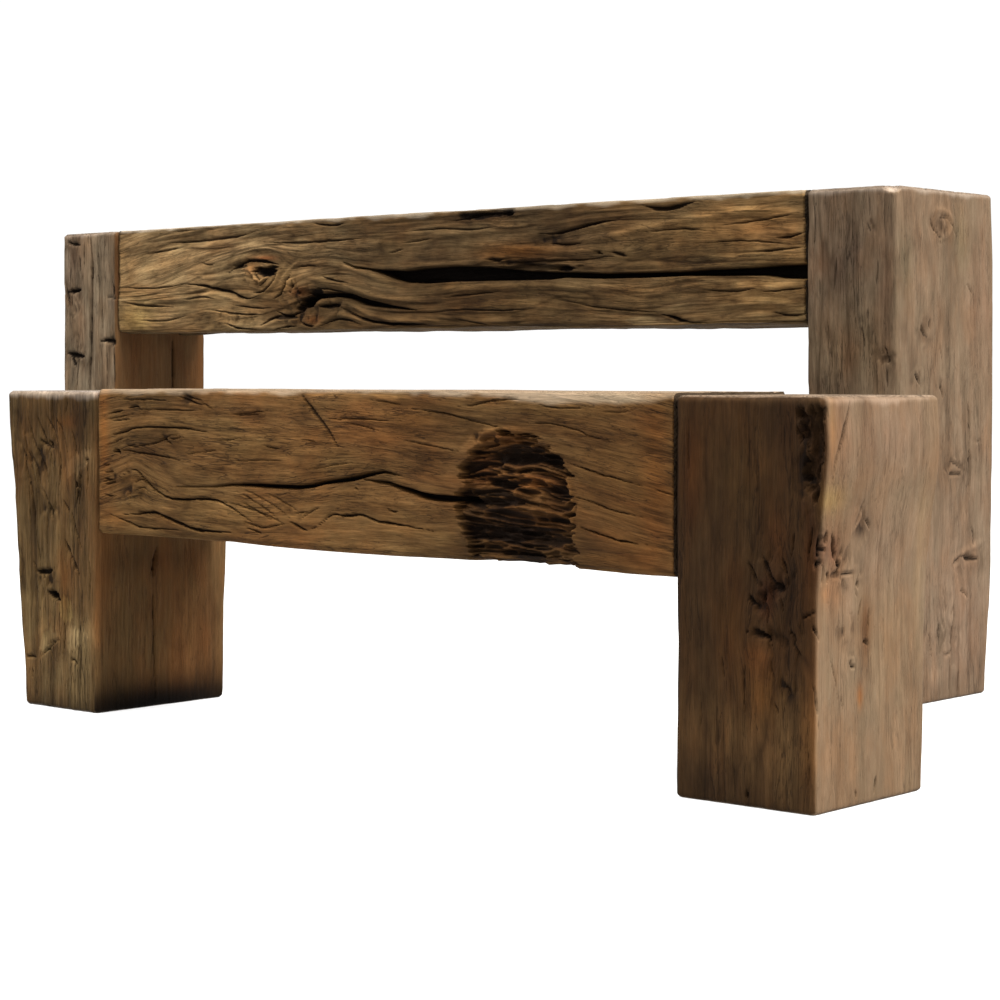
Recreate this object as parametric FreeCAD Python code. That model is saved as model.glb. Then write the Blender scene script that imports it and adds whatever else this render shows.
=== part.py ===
import FreeCAD, Part
import math
import os
from FreeCAD import Vector

# Two rustic log benches made from old building timbers: a low seat and a table-height bench behind it.
# Each bench is two upright post blocks with one heavy beam between them. The beam's stub tenons sit in
# blind mortises in the posts, and pegs driven from behind hold them. Sizes are in millimetres. X runs
# along the benches, Y from the low bench back to the tall one, and Z up from the floor.

# Overall sizes of the low bench
low_length = 1437.0
low_post_height = 455.0
low_left_width = 210.0
low_right_width = 210.0
low_left_depth = 254.0
low_right_depth = 240.0

# Beam of the low bench: its height from underside to top, its depth, how far its front face sits behind
# the posts' and how far its top stands above theirs
low_beam_height = 210.0
low_beam_depth = 226.0
low_beam_set_back = 3.0
low_beam_proud = 4.0

# Overall sizes of the tall bench
tall_length = 1890.0
tall_post_height = 750.0
tall_left_width = 165.0
tall_right_width = 162.0
tall_left_depth = 231.0
tall_right_depth = 280.0

# Beam of the tall bench
tall_beam_height = 203.0
tall_beam_depth = 214.0
tall_beam_set_back = 3.0
tall_beam_proud = 3.0

# How the two benches stand: the clear floor between them, and how far the tall bench's right end sits
# to the left of the low bench's
bench_gap = 526.0
tall_shift = 399.0

# Worn edges. The wear round the top of a post and the easing at its foot are shares of its arris radius
post_arris = 10.0
beam_arris = 11.0
top_wear_share = 0.5
foot_ease_share = 0.3

# How far each post draws in from its widest place, at the outer side and at the back, and the shares
# of that at each height: (height share, outer share, back share)
low_left_lean = 43.0
low_left_back_lean = 8.0
low_left_shares = (
    (0.0, 1.0, 1.0), (0.14, 0.95, 0.8), (0.27, 0.74, 0.6), (0.42, 0.58, 0.3),
    (0.6, 0.46, 0.0), (0.75, 0.29, 0.1), (0.88, 0.06, 0.2), (1.0, 0.0, 0.1),
)
low_right_lean = 17.0
low_right_back_lean = 14.0
low_right_shares = (
    (0.0, 1.0, 1.0), (0.3, 1.0, 0.7), (0.55, 0.96, 0.4), (0.73, 0.5, 0.1),
    (0.86, 0.0, 0.0), (1.0, 0.25, 0.1),
)
tall_left_lean = 8.0
tall_left_back_lean = 6.0
tall_left_shares = (
    (0.0, 1.0, 1.0), (0.25, 0.7, 0.6), (0.5, 0.5, 0.3), (0.75, 0.2, 0.0), (1.0, 0.0, 0.2),
)
tall_right_lean = 6.0
tall_right_back_lean = 27.0
tall_right_shares = (
    (0.0, 0.6, 1.0), (0.12, 0.3, 0.68), (0.25, 0.1, 0.42), (0.43, 0.0, 0.34),
    (0.65, 0.2, 0.17), (0.85, 0.6, 0.0), (1.0, 1.0, 0.1),
)

# Hewn waves along the beams, and the shares of them at each place from the left shoulder to the right:
# (length share, underside share, front share, back share). The top is planed flat, and the wave's
# crown above the plane is planed off
low_wave = 4.0
low_wave_shares = (
    (0.0, 1.0, 0.0, 0.3), (0.15, 1.0, 0.2, 0.6), (0.3, 0.5, 0.3, 0.7), (0.45, 0.0, 0.1, 0.4),
    (0.6, 0.0, 0.2, 0.0), (0.72, -0.1, 0.4, 0.1), (0.82, 0.2, 0.5, 0.4), (0.9, -0.6, 0.3, 0.5),
    (1.0, -0.8, 0.0, 0.2),
)
tall_wave = 5.0
tall_wave_shares = (
    (0.0, 0.4, 0.0, 0.2), (0.2, 0.2, 0.4, 0.6), (0.4, 0.0, 0.2, 0.3),
    (0.6, -0.1, 0.5, 0.2), (0.8, -0.3, 0.3, 0.8), (1.0, -0.4, 0.0, 0.4),
)
planed_off = 2.0

# Stub tenons and their mortises
tenon_length = 95.0
tenon_thickness = 70.0
tenon_shoulder = 30.0
tenon_clearance = 0.3
tenon_end_gap = 3.0
tenon_root = 20.0
shoulder_gap = 0.6

# Pegs, two to a joint, driven from behind. Each passes the tenon and stops in the front cheek. They are
# riven eight-sided, and the radius is to their corners
peg_sides = 8
peg_radius = 11.0
peg_clearance = 0.15
peg_tip_ease = 3.0
peg_end_gap = 3.0
peg_into_cheek = 35.0
peg_proud = 2.0
peg_edge = 1.0
peg_place_share = 0.5
peg_height_shares = {"lower": 0.28, "upper": 0.72}

# Splits in the front of the tall bench's beam. Each has its widest gap, its depth and its line, as
# (length share, height share, share of the widest gap). The long one runs out at the right shoulder, the
# cleft leaves the lower knot, and the check and the crack are short
tall_split_gap = 26.0
tall_split_depth = 85.0
tall_split_shares = (
    (0.42, 0.56, 0.04), (0.451, 0.542, 0.23), (0.474, 0.49, 0.77), (0.533, 0.485, 0.96),
    (0.59, 0.478, 1.0), (0.646, 0.463, 0.92), (0.699, 0.446, 0.5), (0.752, 0.433, 0.31),
    (0.816, 0.43, 0.38), (0.877, 0.419, 0.54), (0.949, 0.409, 0.73), (1.01, 0.404, 0.92),
)
tall_cleft_gap = 15.0
tall_cleft_depth = 50.0
tall_cleft_shares = (
    (0.297, 0.395, 0.1), (0.322, 0.371, 0.75), (0.348, 0.335, 1.0), (0.375, 0.322, 0.9),
    (0.402, 0.285, 0.6), (0.43, 0.236, 0.4), (0.46, 0.212, 0.3), (0.515, 0.225, 0.05),
)
tall_check_gap = 5.0
tall_check_sink = 20.0
tall_check_shares = (
    (0.042, 0.457, 0.1), (0.08, 0.46, 0.5), (0.118, 0.474, 0.9), (0.168, 0.416, 1.0),
    (0.214, 0.35, 0.7), (0.25, 0.339, 0.1),
)
tall_crack_gap = 7.0
tall_crack_depth = 20.0
tall_crack_shares = (
    (0.702, 0.241, 0.1), (0.755, 0.168, 0.4), (0.806, 0.14, 0.6), (0.84, 0.1, 1.0), (0.868, 0.07, 0.1),
)

# Splits in the front of the low bench's beam. The long one is closed at its left end and runs into the
# old housing at its right, the bent one goes round the knot at the left end, the low and middle ones lie
# under the long one, the high one is near the top, and two run on from the housing to the right
low_split_gap = 10.0
low_split_depth = 35.0
low_split_shares = (
    (0.167, 0.371, 0.12), (0.235, 0.374, 0.4), (0.3, 0.398, 0.7), (0.35, 0.396, 0.85),
    (0.4, 0.404, 0.95), (0.455, 0.45, 0.9), (0.517, 0.49, 0.8), (0.57, 0.448, 0.85),
    (0.61, 0.39, 0.95), (0.65, 0.37, 1.0), (0.69, 0.367, 0.9),
)
low_bent_gap = 5.0
low_bent_depth = 22.0
low_bent_shares = (
    (0.043, 0.405, 0.1), (0.066, 0.455, 0.6), (0.087, 0.446, 0.9), (0.11, 0.37, 1.0),
    (0.137, 0.303, 0.9), (0.175, 0.282, 0.8), (0.222, 0.294, 0.7), (0.262, 0.262, 0.5), (0.3, 0.186, 0.1),
)
low_fine_gap = 4.0
low_fine_depth = 15.0
low_fine_lines = (
    ((0.047, 0.165, 0.1), (0.086, 0.184, 0.5), (0.13, 0.172, 0.7), (0.173, 0.118, 0.9),
     (0.212, 0.088, 1.0), (0.275, 0.092, 0.1)),
    ((0.422, 0.141, 0.1), (0.446, 0.198, 0.6), (0.475, 0.245, 0.9), (0.508, 0.247, 0.9),
     (0.538, 0.215, 0.9), (0.581, 0.197, 1.0), (0.635, 0.167, 0.1)),
    ((0.032, 0.692, 0.1), (0.08, 0.744, 0.9), (0.13, 0.752, 0.8), (0.18, 0.74, 0.6), (0.242, 0.734, 0.1)),
    ((0.836, 0.425, 1.0), (0.87, 0.39, 1.0), (0.91, 0.35, 0.8), (0.956, 0.315, 0.1)),
    ((0.825, 0.62, 1.0), (0.87, 0.57, 0.9), (0.91, 0.53, 0.6), (0.956, 0.485, 0.1)),
)

# Old saw kerf that runs down from the top of the low bench's beam: (length share, height share, share)
low_kerf_gap = 4.0
low_kerf_depth = 6.0
low_kerf_shares = ((0.389, 1.03, 1.0), (0.473, 0.647, 0.8))

# Old weathered housing in the front of the low bench's beam, where a cross timber once sat, from the
# left foot over the top to the right foot: (length share, height share)
low_housing_depth = 13.0
low_housing_shares = (
    (0.695, -0.05), (0.677, 0.25), (0.679, 0.42), (0.707, 0.64), (0.752, 0.8),
    (0.803, 0.75), (0.838, 0.58), (0.853, 0.3), (0.848, -0.05),
)

# Gouges that rot, knots and knocks have left, eight-sided and narrowing in steps to their bed. Each kind
# has its length along the grain, or along X for a nick, its width and its depth
gouge_corner_share = 0.45
gouge_steps = ((0.0, 1.0), (0.55, 0.78), (1.0, 0.4))
eye_length = 54.0
eye_width = 22.0
eye_depth = 11.0
gut_length = 74.0
gut_width = 28.0
gut_depth = 14.0
pocket_length = 150.0
pocket_width = 40.0
pocket_depth = 15.0
rot_length = 130.0
rot_width = 52.0
rot_depth = 17.0
knot_length = 34.0
knot_width = 15.0
knot_depth = 7.0
slit_length = 36.0
slit_width = 8.0
slit_depth = 4.0
nick_length = 42.0
nick_width = 11.0
nick_depth = 5.0
chip_length = 62.0
chip_width = 26.0
chip_depth = 12.0

# Where the gouges are on the beams: (kind, face, length share, height share), where the arris is the
# upper front one and the sunk face is the bed of the housing
tall_beam_gouges = (
    ("eye", "front", 0.253, 0.6), ("gut", "front", 0.318, 0.256), ("pocket", "arris", 0.595, 1.0),
    ("rot", "arris", 0.838, 1.0),
)
low_beam_gouges = (
    ("gut", "sunk", 0.74, 0.55), ("pocket", "sunk", 0.765, 0.29), ("knot", "front", 0.039, 0.59),
)

# Where they are on the posts: (kind, face, share across, height share). Shares across run in from the
# outer side on the front, and back from the front on the outer side
low_left_gouges = (("knot", "front", 0.376, 0.426), ("knot", "front", 0.52, 0.36))
low_right_gouges = (
    ("rot", "arris", 0.0, 0.84), ("knot", "front", 0.31, 0.543), ("knot", "front", 0.414, 0.42),
    ("knot", "outer", 0.096, 0.637), ("slit", "outer", 0.26, 0.625), ("slit", "arris", 0.0, 0.277),
)
tall_left_gouges = (
    ("nick", "front", 0.2, 0.975), ("nick", "front", 0.22, 0.856), ("nick", "front", 0.8, 0.723),
    ("nick", "front", 0.2, 0.689),
)
tall_right_gouges = (
    ("chip", "corner", 0.0, 1.0), ("slit", "front", 0.1, 0.665), ("slit", "outer", 0.23, 0.64),
    ("slit", "outer", 0.47, 0.93),
)

# Drying checks in the posts, as upright wedges. Each post's are listed as (face, place share, height
# shares that they run between), with the same shares across as the gouges
check_mouth = 4.0
check_depth = 40.0
low_left_checks = (("inner", 0.36, 0.0, 0.44), ("back", 0.6, 0.35, 1.0))
low_right_checks = (("outer", 0.64, 0.0, 0.05), ("back", 0.4, 0.0, 0.5))
tall_left_checks = (("inner", 0.6, 0.0, 0.71), ("front", 0.48, 0.45, 1.0), ("back", 0.45, 0.0, 0.6))
tall_right_checks = (("outer", 0.55, 0.0, 0.3), ("front", 0.28, 0.3, 0.62), ("back", 0.5, 0.4, 1.0))

# How far every cutting shape runs past the face that it cuts, and how near two heights count as one
overrun = 5.0
same_height = 0.001


# Outlines

def rounded_ring(place, u0, u1, v0, v1, radius):
    """A closed rounded rectangle from u0, v0 to u1, v1, put in space by place(u, v)."""
    mid = radius - radius * math.sqrt(0.5)
    corners = (
        ((u1, v0), (u1 - radius, v0), (u1 - mid, v0 + mid), (u1, v0 + radius)),
        ((u1, v1), (u1, v1 - radius), (u1 - mid, v1 - mid), (u1 - radius, v1)),
        ((u0, v1), (u0 + radius, v1), (u0 + mid, v1 - mid), (u0, v1 - radius)),
        ((u0, v0), (u0, v0 + radius), (u0 + mid, v0 + mid), (u0 + radius, v0)),
    )
    edges = []
    start = corners[-1][3]
    for _, first, middle, last in corners:
        edges.append(Part.LineSegment(place(*start), place(*first)).toShape())
        edges.append(Part.Arc(place(*first), place(*middle), place(*last)).toShape())
        start = last
    return Part.Wire(edges)


def hewn_between(rings):
    """A solid through the rings, straight from one to the next, as an axe leaves a timber."""
    return Part.makeLoft(rings, True, True)


def smooth_edge(points):
    """One smooth curve through the points."""
    curve = Part.BSplineCurve()
    curve.interpolate(points)
    return curve.toShape()


def faceted(rings):
    """A solid with flat faces through rings of corners, each ring's sides parallel to the last's."""
    faces = [Part.Face(Part.makePolygon(ring + ring[:1])) for ring in (rings[0], rings[-1])]
    for near, far in zip(rings, rings[1:]):
        for corner in range(len(near)):
            last = corner - 1
            side = Part.makePolygon([near[last], near[corner], far[corner], far[last], near[last]])
            faces.append(Part.Face(side))
    return Part.makeSolid(Part.makeShell(faces))


def sunk_from_front(wire, depth):
    """The outline, which lies on the beam's front face, carried into the wood to the depth."""
    face = Part.Face(wire)
    face.translate(Vector(0, -overrun, 0))
    return face.extrude(Vector(0, depth + overrun, 0))


def box_between(low, high):
    """A box from its lowest corner to its highest."""
    return Part.makeBox(high.x - low.x, high.y - low.y, high.z - low.z, low)


# The bench's frame: where its shoulders, tenons and pegs are

class Bench:
    """The places that a bench's timbers share, in the bench's own frame: X from its left end, Y from
    its front and Z from the floor."""

    def __init__(self, length, height, widths, depths, beam_height, beam_depth, set_back, proud):
        self.length = length
        self.height = height
        self.widths = widths
        self.depths = depths
        self.beam_high = height + proud
        self.beam_low = self.beam_high - beam_height
        self.beam_front = set_back
        self.beam_back = set_back + beam_depth
        self.inner = {"left": widths["left"], "right": length - widths["right"]}
        self.outward = {"left": -1.0, "right": 1.0}
        self.beam_start = self.inner["left"] + shoulder_gap
        self.beam_end = self.inner["right"] - shoulder_gap
        middle = (self.beam_front + self.beam_back) / 2
        self.tenon_front = middle - tenon_thickness / 2
        self.tenon_back = middle + tenon_thickness / 2
        self.tenon_low = self.beam_low + tenon_shoulder
        self.tenon_high = self.beam_high - tenon_shoulder

    def on_beam(self, length_share, height_share):
        """A point of the beam's front face from shares of its length and height."""
        x = self.beam_start + length_share * (self.beam_end - self.beam_start)
        return Vector(x, self.beam_front, self.beam_low + height_share * (self.beam_high - self.beam_low))

    def on_post(self, side, face, across_share, height_share):
        """A point of a post's face, and the way out of the wood there."""
        outward = self.outward[side]
        outer = self.inner[side] + outward * self.widths[side]
        across = outer - outward * across_share * self.widths[side]
        along_depth = across_share * self.depths[side]
        z = height_share * self.height
        return {
            "front": (Vector(across, 0, z), Vector(0, -1, 0)),
            "back": (Vector(across, self.depths[side], z), Vector(0, 1, 0)),
            "outer": (Vector(outer, along_depth, z), Vector(outward, 0, 0)),
            "inner": (Vector(self.inner[side], along_depth, z), Vector(-outward, 0, 0)),
            "arris": (Vector(outer, 0, z), Vector(outward, -1, 0)),
            "corner": (Vector(outer, 0, z), Vector(outward, -1, 1)),
        }[face]

    def tenon_block(self, side, near, far, grow):
        """A block round the tenon, from near to far out past the post's inner face, grown all round."""
        ends = sorted(self.inner[side] + self.outward[side] * reach for reach in (near, far))
        low = Vector(ends[0], self.tenon_front - grow, self.tenon_low - grow)
        high = Vector(ends[1], self.tenon_back + grow, self.tenon_high + grow)
        return box_between(low, high)

    def peg_line(self, side, height_share):
        """X and Z of a peg's axis, which runs along Y."""
        x = self.inner[side] + self.outward[side] * peg_place_share * tenon_length
        return x, self.tenon_low + height_share * (self.tenon_high - self.tenon_low)

    def peg_hole(self, side, height_share):
        """The bore for one peg, from behind the post to its blind end in the front cheek."""
        x, z = self.peg_line(side, height_share)
        blind = self.tenon_front - peg_into_cheek - peg_end_gap
        length = self.depths[side] + overrun - blind
        return Part.makeCylinder(peg_radius + peg_clearance, length, Vector(x, blind, z), Vector(0, 1, 0))


# Timbers

def rim_at(solid, height):
    """The edges of the flat end that lies at the height."""
    return [
        edge for edge in solid.Edges
        if all(abs(vertex.Z - height) < same_height for vertex in edge.Vertexes)
    ]


def post(bench, side, lean, back_lean, shares):
    """An upright block, hewn through rounded sections, worn at its top and eased at its foot, with its
    mortise and peg bores. Its inner face, which the beam's shoulder meets, is sawn flat."""
    inner = bench.inner[side]
    outward = bench.outward[side]
    rings = []
    for height_share, outer_share, back_share in shares:
        outer = inner + outward * (bench.widths[side] - outer_share * lean)
        back = bench.depths[side] - back_share * back_lean
        z = height_share * bench.height
        across = sorted((inner, outer))
        rings.append(rounded_ring(lambda u, v: Vector(u, v, z), across[0], across[1], 0, back, post_arris))
    solid = hewn_between(rings)
    solid = solid.makeChamfer(post_arris * top_wear_share, rim_at(solid, bench.height))
    solid = solid.makeChamfer(post_arris * foot_ease_share, rim_at(solid, 0))
    mortise_end = tenon_length - shoulder_gap + tenon_end_gap
    solid = solid.cut(bench.tenon_block(side, -overrun, mortise_end, tenon_clearance))
    for height_share in peg_height_shares.values():
        solid = solid.cut(bench.peg_hole(side, height_share))
    return solid


def beam(bench, wave, shares):
    """The beam between the posts, hewn along X through rounded sections and planed flat on top."""
    top = bench.beam_high
    rings = []
    for length_share, under_share, front_share, back_share in shares:
        x = bench.on_beam(length_share, 0).x
        rings.append(rounded_ring(
            lambda u, v: Vector(x, u, v),
            bench.beam_front + front_share * wave, bench.beam_back - back_share * wave,
            bench.beam_low + under_share * wave, top + planed_off, beam_arris,
        ))
    solid = hewn_between(rings)
    shavings = box_between(
        Vector(bench.beam_start - overrun, bench.beam_front - overrun, top),
        Vector(bench.beam_end + overrun, bench.beam_back + overrun, top + planed_off + overrun),
    )
    return solid.cut(shavings)


def with_tenons(solid, bench):
    """The beam with its stub tenons, bored for the pegs."""
    for side in ("left", "right"):
        tenon = bench.tenon_block(side, -shoulder_gap - tenon_root, tenon_length - shoulder_gap, 0)
        solid = solid.fuse(tenon)
    for side in ("left", "right"):
        for height_share in peg_height_shares.values():
            solid = solid.cut(bench.peg_hole(side, height_share))
    return solid.removeSplitter()


def peg(bench, side, height_share):
    """A riven eight-sided peg with an eased tip, its head left a little proud of the post's back. Its
    corners just clear the round bore."""
    x, z = bench.peg_line(side, height_share)
    tip = bench.tenon_front - peg_into_cheek
    head = bench.depths[side] + peg_proud
    rings = []
    for y, radius in (
        (tip, peg_radius - peg_tip_ease), (tip + peg_tip_ease, peg_radius),
        (head - peg_edge, peg_radius), (head, peg_radius - peg_edge),
    ):
        turns = [2 * math.pi * (corner + 0.5) / peg_sides for corner in range(peg_sides)]
        rings.append([
            Vector(x + radius * math.cos(turn), y, z + radius * math.sin(turn)) for turn in turns
        ])
    return faceted(rings)


# What age has done to the timbers

def split(bench, gap, depth, shares):
    """An open split: a gap that widens and narrows along its line, carried in from the front."""
    def side_of_gap(sign):
        return [
            bench.on_beam(length_share, height_share) + Vector(0, 0, sign * gap_share * gap / 2)
            for length_share, height_share, gap_share in shares
        ]
    upper = side_of_gap(1)
    lower = side_of_gap(-1)
    return sunk_from_front(Part.makePolygon(upper + lower[::-1] + upper[:1]), depth)


def housing(bench, depth, shares):
    """The old housing: a smooth arch, open at the beam's underside, sunk in from the front."""
    points = [bench.on_beam(*pair) for pair in shares]
    foot = Part.LineSegment(points[-1], points[0]).toShape()
    return sunk_from_front(Part.Wire([smooth_edge(points), foot]), depth)


def gouge(kind, place, out, along):
    """A gouge sunk into a face at the place, long along its length and narrowing to its bed."""
    length, width, depth = {
        "eye": (eye_length, eye_width, eye_depth),
        "gut": (gut_length, gut_width, gut_depth),
        "pocket": (pocket_length, pocket_width, pocket_depth),
        "rot": (rot_length, rot_width, rot_depth),
        "knot": (knot_length, knot_width, knot_depth),
        "slit": (slit_length, slit_width, slit_depth),
        "nick": (nick_length, nick_width, nick_depth),
        "chip": (chip_length, chip_width, chip_depth),
    }[kind]
    out.normalize()
    along.normalize()
    across = out.cross(along)
    outline = []
    for ahead, aside in ((1, 1), (-1, 1), (-1, -1), (1, -1)):
        pair = [
            along * (ahead * length / 2) + across * (aside * gouge_corner_share * width / 2),
            along * (ahead * gouge_corner_share * length / 2) + across * (aside * width / 2),
        ]
        outline += pair if ahead == aside else pair[::-1]
    (_, mouth_share), (next_depth_share, next_share) = gouge_steps[:2]
    lift = overrun / (next_depth_share * depth)
    above = (-lift * next_depth_share, mouth_share + lift * (mouth_share - next_share))
    return faceted([
        [place - out * (depth_share * depth) + corner * share for corner in outline]
        for depth_share, share in (above,) + gouge_steps[1:]
    ])


def gouged_beam(solid, bench, gouges, sunk):
    """The beam with its gouges, which all run along it."""
    ways = {"front": (0, Vector(0, -1, 0)), "sunk": (sunk, Vector(0, -1, 0)), "arris": (0, Vector(0, -1, 1))}
    for kind, face, length_share, height_share in gouges:
        inward, out = ways[face]
        place = bench.on_beam(length_share, height_share) + Vector(0, inward, 0)
        solid = solid.cut(gouge(kind, place, Vector(out), Vector(1, 0, 0)))
    return solid


def drying_check(place, out, height):
    """A wedge-shaped drying crack up a post's face, from its foot at the place."""
    mouth = place + out * overrun
    across = out.cross(Vector(0, 0, 1)) * (check_mouth / 2 + check_mouth / check_depth * overrun / 2)
    corners = [mouth - across, mouth + across, place - out * check_depth]
    return Part.Face(Part.makePolygon(corners + corners[:1])).extrude(Vector(0, 0, height))


def weathered_post(solid, bench, side, gouges, checks):
    """The post with its gouges and drying checks. A check that starts at the floor runs past it."""
    sideways = {"nick": Vector(1, 0, 0), "chip": Vector(bench.outward[side], 1, 0)}
    for kind, face, across_share, height_share in gouges:
        place, out = bench.on_post(side, face, across_share, height_share)
        along = sideways.get(kind, Vector(0, 0, 1))
        solid = solid.cut(gouge(kind, place, out, along))
    for face, across_share, low_share, high_share in checks:
        place, out = bench.on_post(side, face, across_share, low_share)
        height = (high_share - low_share) * bench.height
        below, above = overrun * (low_share == 0), overrun * (high_share == 1)
        place.z -= below
        solid = solid.cut(drying_check(place, out, height + below + above))
    return solid


# The two benches, each in its own frame

def build_low_bench():
    bench = Bench(
        low_length, low_post_height, {"left": low_left_width, "right": low_right_width},
        {"left": low_left_depth, "right": low_right_depth},
        low_beam_height, low_beam_depth, low_beam_set_back, low_beam_proud,
    )
    left = post(bench, "left", low_left_lean, low_left_back_lean, low_left_shares)
    left = weathered_post(left, bench, "left", low_left_gouges, low_left_checks)
    right = post(bench, "right", low_right_lean, low_right_back_lean, low_right_shares)
    right = weathered_post(right, bench, "right", low_right_gouges, low_right_checks)
    seat = beam(bench, low_wave, low_wave_shares)
    seat = seat.cut(housing(bench, low_housing_depth, low_housing_shares))
    cuts = [
        (low_split_gap, low_split_depth, low_split_shares), (low_bent_gap, low_bent_depth, low_bent_shares),
        (low_kerf_gap, low_kerf_depth, low_kerf_shares),
    ]
    for gap, depth, shares in cuts + [(low_fine_gap, low_fine_depth, line) for line in low_fine_lines]:
        seat = seat.cut(split(bench, gap, depth, shares))
    seat = gouged_beam(seat, bench, low_beam_gouges, low_housing_depth)
    return bench, {"left_post": left, "right_post": right, "seat_beam": with_tenons(seat, bench)}


def build_tall_bench():
    bench = Bench(
        tall_length, tall_post_height, {"left": tall_left_width, "right": tall_right_width},
        {"left": tall_left_depth, "right": tall_right_depth},
        tall_beam_height, tall_beam_depth, tall_beam_set_back, tall_beam_proud,
    )
    left = post(bench, "left", tall_left_lean, tall_left_back_lean, tall_left_shares)
    left = weathered_post(left, bench, "left", tall_left_gouges, tall_left_checks)
    right = post(bench, "right", tall_right_lean, tall_right_back_lean, tall_right_shares)
    right = weathered_post(right, bench, "right", tall_right_gouges, tall_right_checks)
    top = beam(bench, tall_wave, tall_wave_shares)
    for gap, depth, shares in (
        (tall_split_gap, tall_split_depth, tall_split_shares),
        (tall_cleft_gap, tall_cleft_depth, tall_cleft_shares),
        (tall_check_gap, tall_check_sink, tall_check_shares),
        (tall_crack_gap, tall_crack_depth, tall_crack_shares),
    ):
        top = top.cut(split(bench, gap, depth, shares))
    top = gouged_beam(top, bench, tall_beam_gouges, 0)
    return bench, {"left_post": left, "right_post": right, "top_beam": with_tenons(top, bench)}


def add_pegs(bench, pieces):
    """Two pegs to each joint, each a piece of its own."""
    for side in ("left", "right"):
        for level, height_share in peg_height_shares.items():
            pieces[f"{side}_{level}_peg"] = peg(bench, side, height_share)


# Stand the benches as they stand in use, with the origin on the floor under the middle of the pair

def main():
    low_bench, low_pieces = build_low_bench()
    tall_bench, tall_pieces = build_tall_bench()
    add_pegs(low_bench, low_pieces)
    add_pegs(tall_bench, tall_pieces)
    low_back = max(low_left_depth, low_right_depth)
    tall_corner = Vector(low_length - tall_shift - tall_length, low_back + bench_gap, 0)
    pieces = {}
    for name, solid in low_pieces.items():
        pieces["low_" + name] = solid
    for name, solid in tall_pieces.items():
        solid.translate(tall_corner)
        pieces["tall_" + name] = solid
    left_end = min(0, tall_corner.x)
    right_end = max(low_length, tall_corner.x + tall_length)
    back_end = tall_corner.y + max(tall_left_depth, tall_right_depth)
    to_middle = Vector(-(left_end + right_end) / 2, -back_end / 2, 0)
    os.makedirs("parts", exist_ok=True)
    for name, solid in pieces.items():
        solid.translate(to_middle)
        solid.exportStep(os.path.join("parts", name + ".step"))
        box = solid.BoundBox
        print(
            f"{name:24s} solids {len(solid.Solids)} valid {solid.isValid()} faces {len(solid.Faces)} "
            f"x {box.XMin:.1f} to {box.XMax:.1f}, y {box.YMin:.1f} to {box.YMax:.1f}, "
            f"z {box.ZMin:.1f} to {box.ZMax:.1f}"
        )


main()
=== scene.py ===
import bpy
import numpy as np
from mathutils import Matrix, Vector


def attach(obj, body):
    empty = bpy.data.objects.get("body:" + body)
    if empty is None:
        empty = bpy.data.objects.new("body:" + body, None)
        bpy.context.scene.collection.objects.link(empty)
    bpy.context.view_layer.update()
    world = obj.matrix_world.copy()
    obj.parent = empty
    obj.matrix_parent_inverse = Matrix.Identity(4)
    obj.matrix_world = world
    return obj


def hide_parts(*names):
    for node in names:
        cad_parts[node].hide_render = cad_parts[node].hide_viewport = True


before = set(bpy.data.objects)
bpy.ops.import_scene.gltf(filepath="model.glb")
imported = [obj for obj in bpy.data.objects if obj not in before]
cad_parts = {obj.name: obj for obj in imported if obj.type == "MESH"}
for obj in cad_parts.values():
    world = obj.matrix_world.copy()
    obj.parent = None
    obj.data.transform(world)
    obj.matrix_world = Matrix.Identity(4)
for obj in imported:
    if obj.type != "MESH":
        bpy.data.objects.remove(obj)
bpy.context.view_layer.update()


# Left post of the low bench
# A short block sawn from an old building timber, stood on its end with the grain upright. Its front is
# greyed and grooved by weather, its outer side draws in unevenly, and its inner face is sawn flat.

# Lengths are in metres, and MM turns a depth told in mm into metres
MM = 0.001
LOW_CORNER = np.array([-0.2925, -0.530, 0.0])
LOW_POST_HEIGHT = 0.455
POST_ARRIS = 0.010
FOOT_EASE, TOP_EASE = 0.005, 0.006
LEFT, RIGHT = (-1, 0, 0), (1, 0, 0)
FRONT, BACK = (0, -1, 0), (0, 1, 0)
DOWN, UP = (0, 0, -1), (0, 0, 1)

# The photograph's camera, which the marks' pixel places are carried through onto the timbers
CAMERA_AT = np.array([2.6058, -2.7286, 0.4782])
CAMERA_WAY = np.array([-0.65990, 0.75135, 0.0])
CAMERA_RIGHT = np.array([0.75135, 0.65990, 0.0])
FOCAL_PIXELS = 2432.6
HORIZON_PIXEL = 374.7
PICTURE_PIXELS = 1000


def seen_on(pixels, axis, place):
    """Where the rays through pixels of the photograph meet the plane on which the axis has that place:
    camera + distance times direction, with the distance that brings the axis to the place."""
    pixels = np.atleast_2d(np.array(pixels, float))
    right, up = pixels[:, 0] - PICTURE_PIXELS / 2, HORIZON_PIXEL - pixels[:, 1]
    way = CAMERA_WAY * FOCAL_PIXELS + right[:, None] * CAMERA_RIGHT + up[:, None] * np.array([0, 0, 1.0])
    reach = (place - CAMERA_AT[axis]) / way[:, axis]
    return CAMERA_AT + reach[:, None] * way


def ease(share):
    """A share from 0 to 1 made to start and stop gently: 3 s squared less 2 s cubed."""
    share = np.clip(share, 0.0, 1.0)
    return share * share * (3.0 - 2.0 * share)


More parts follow.
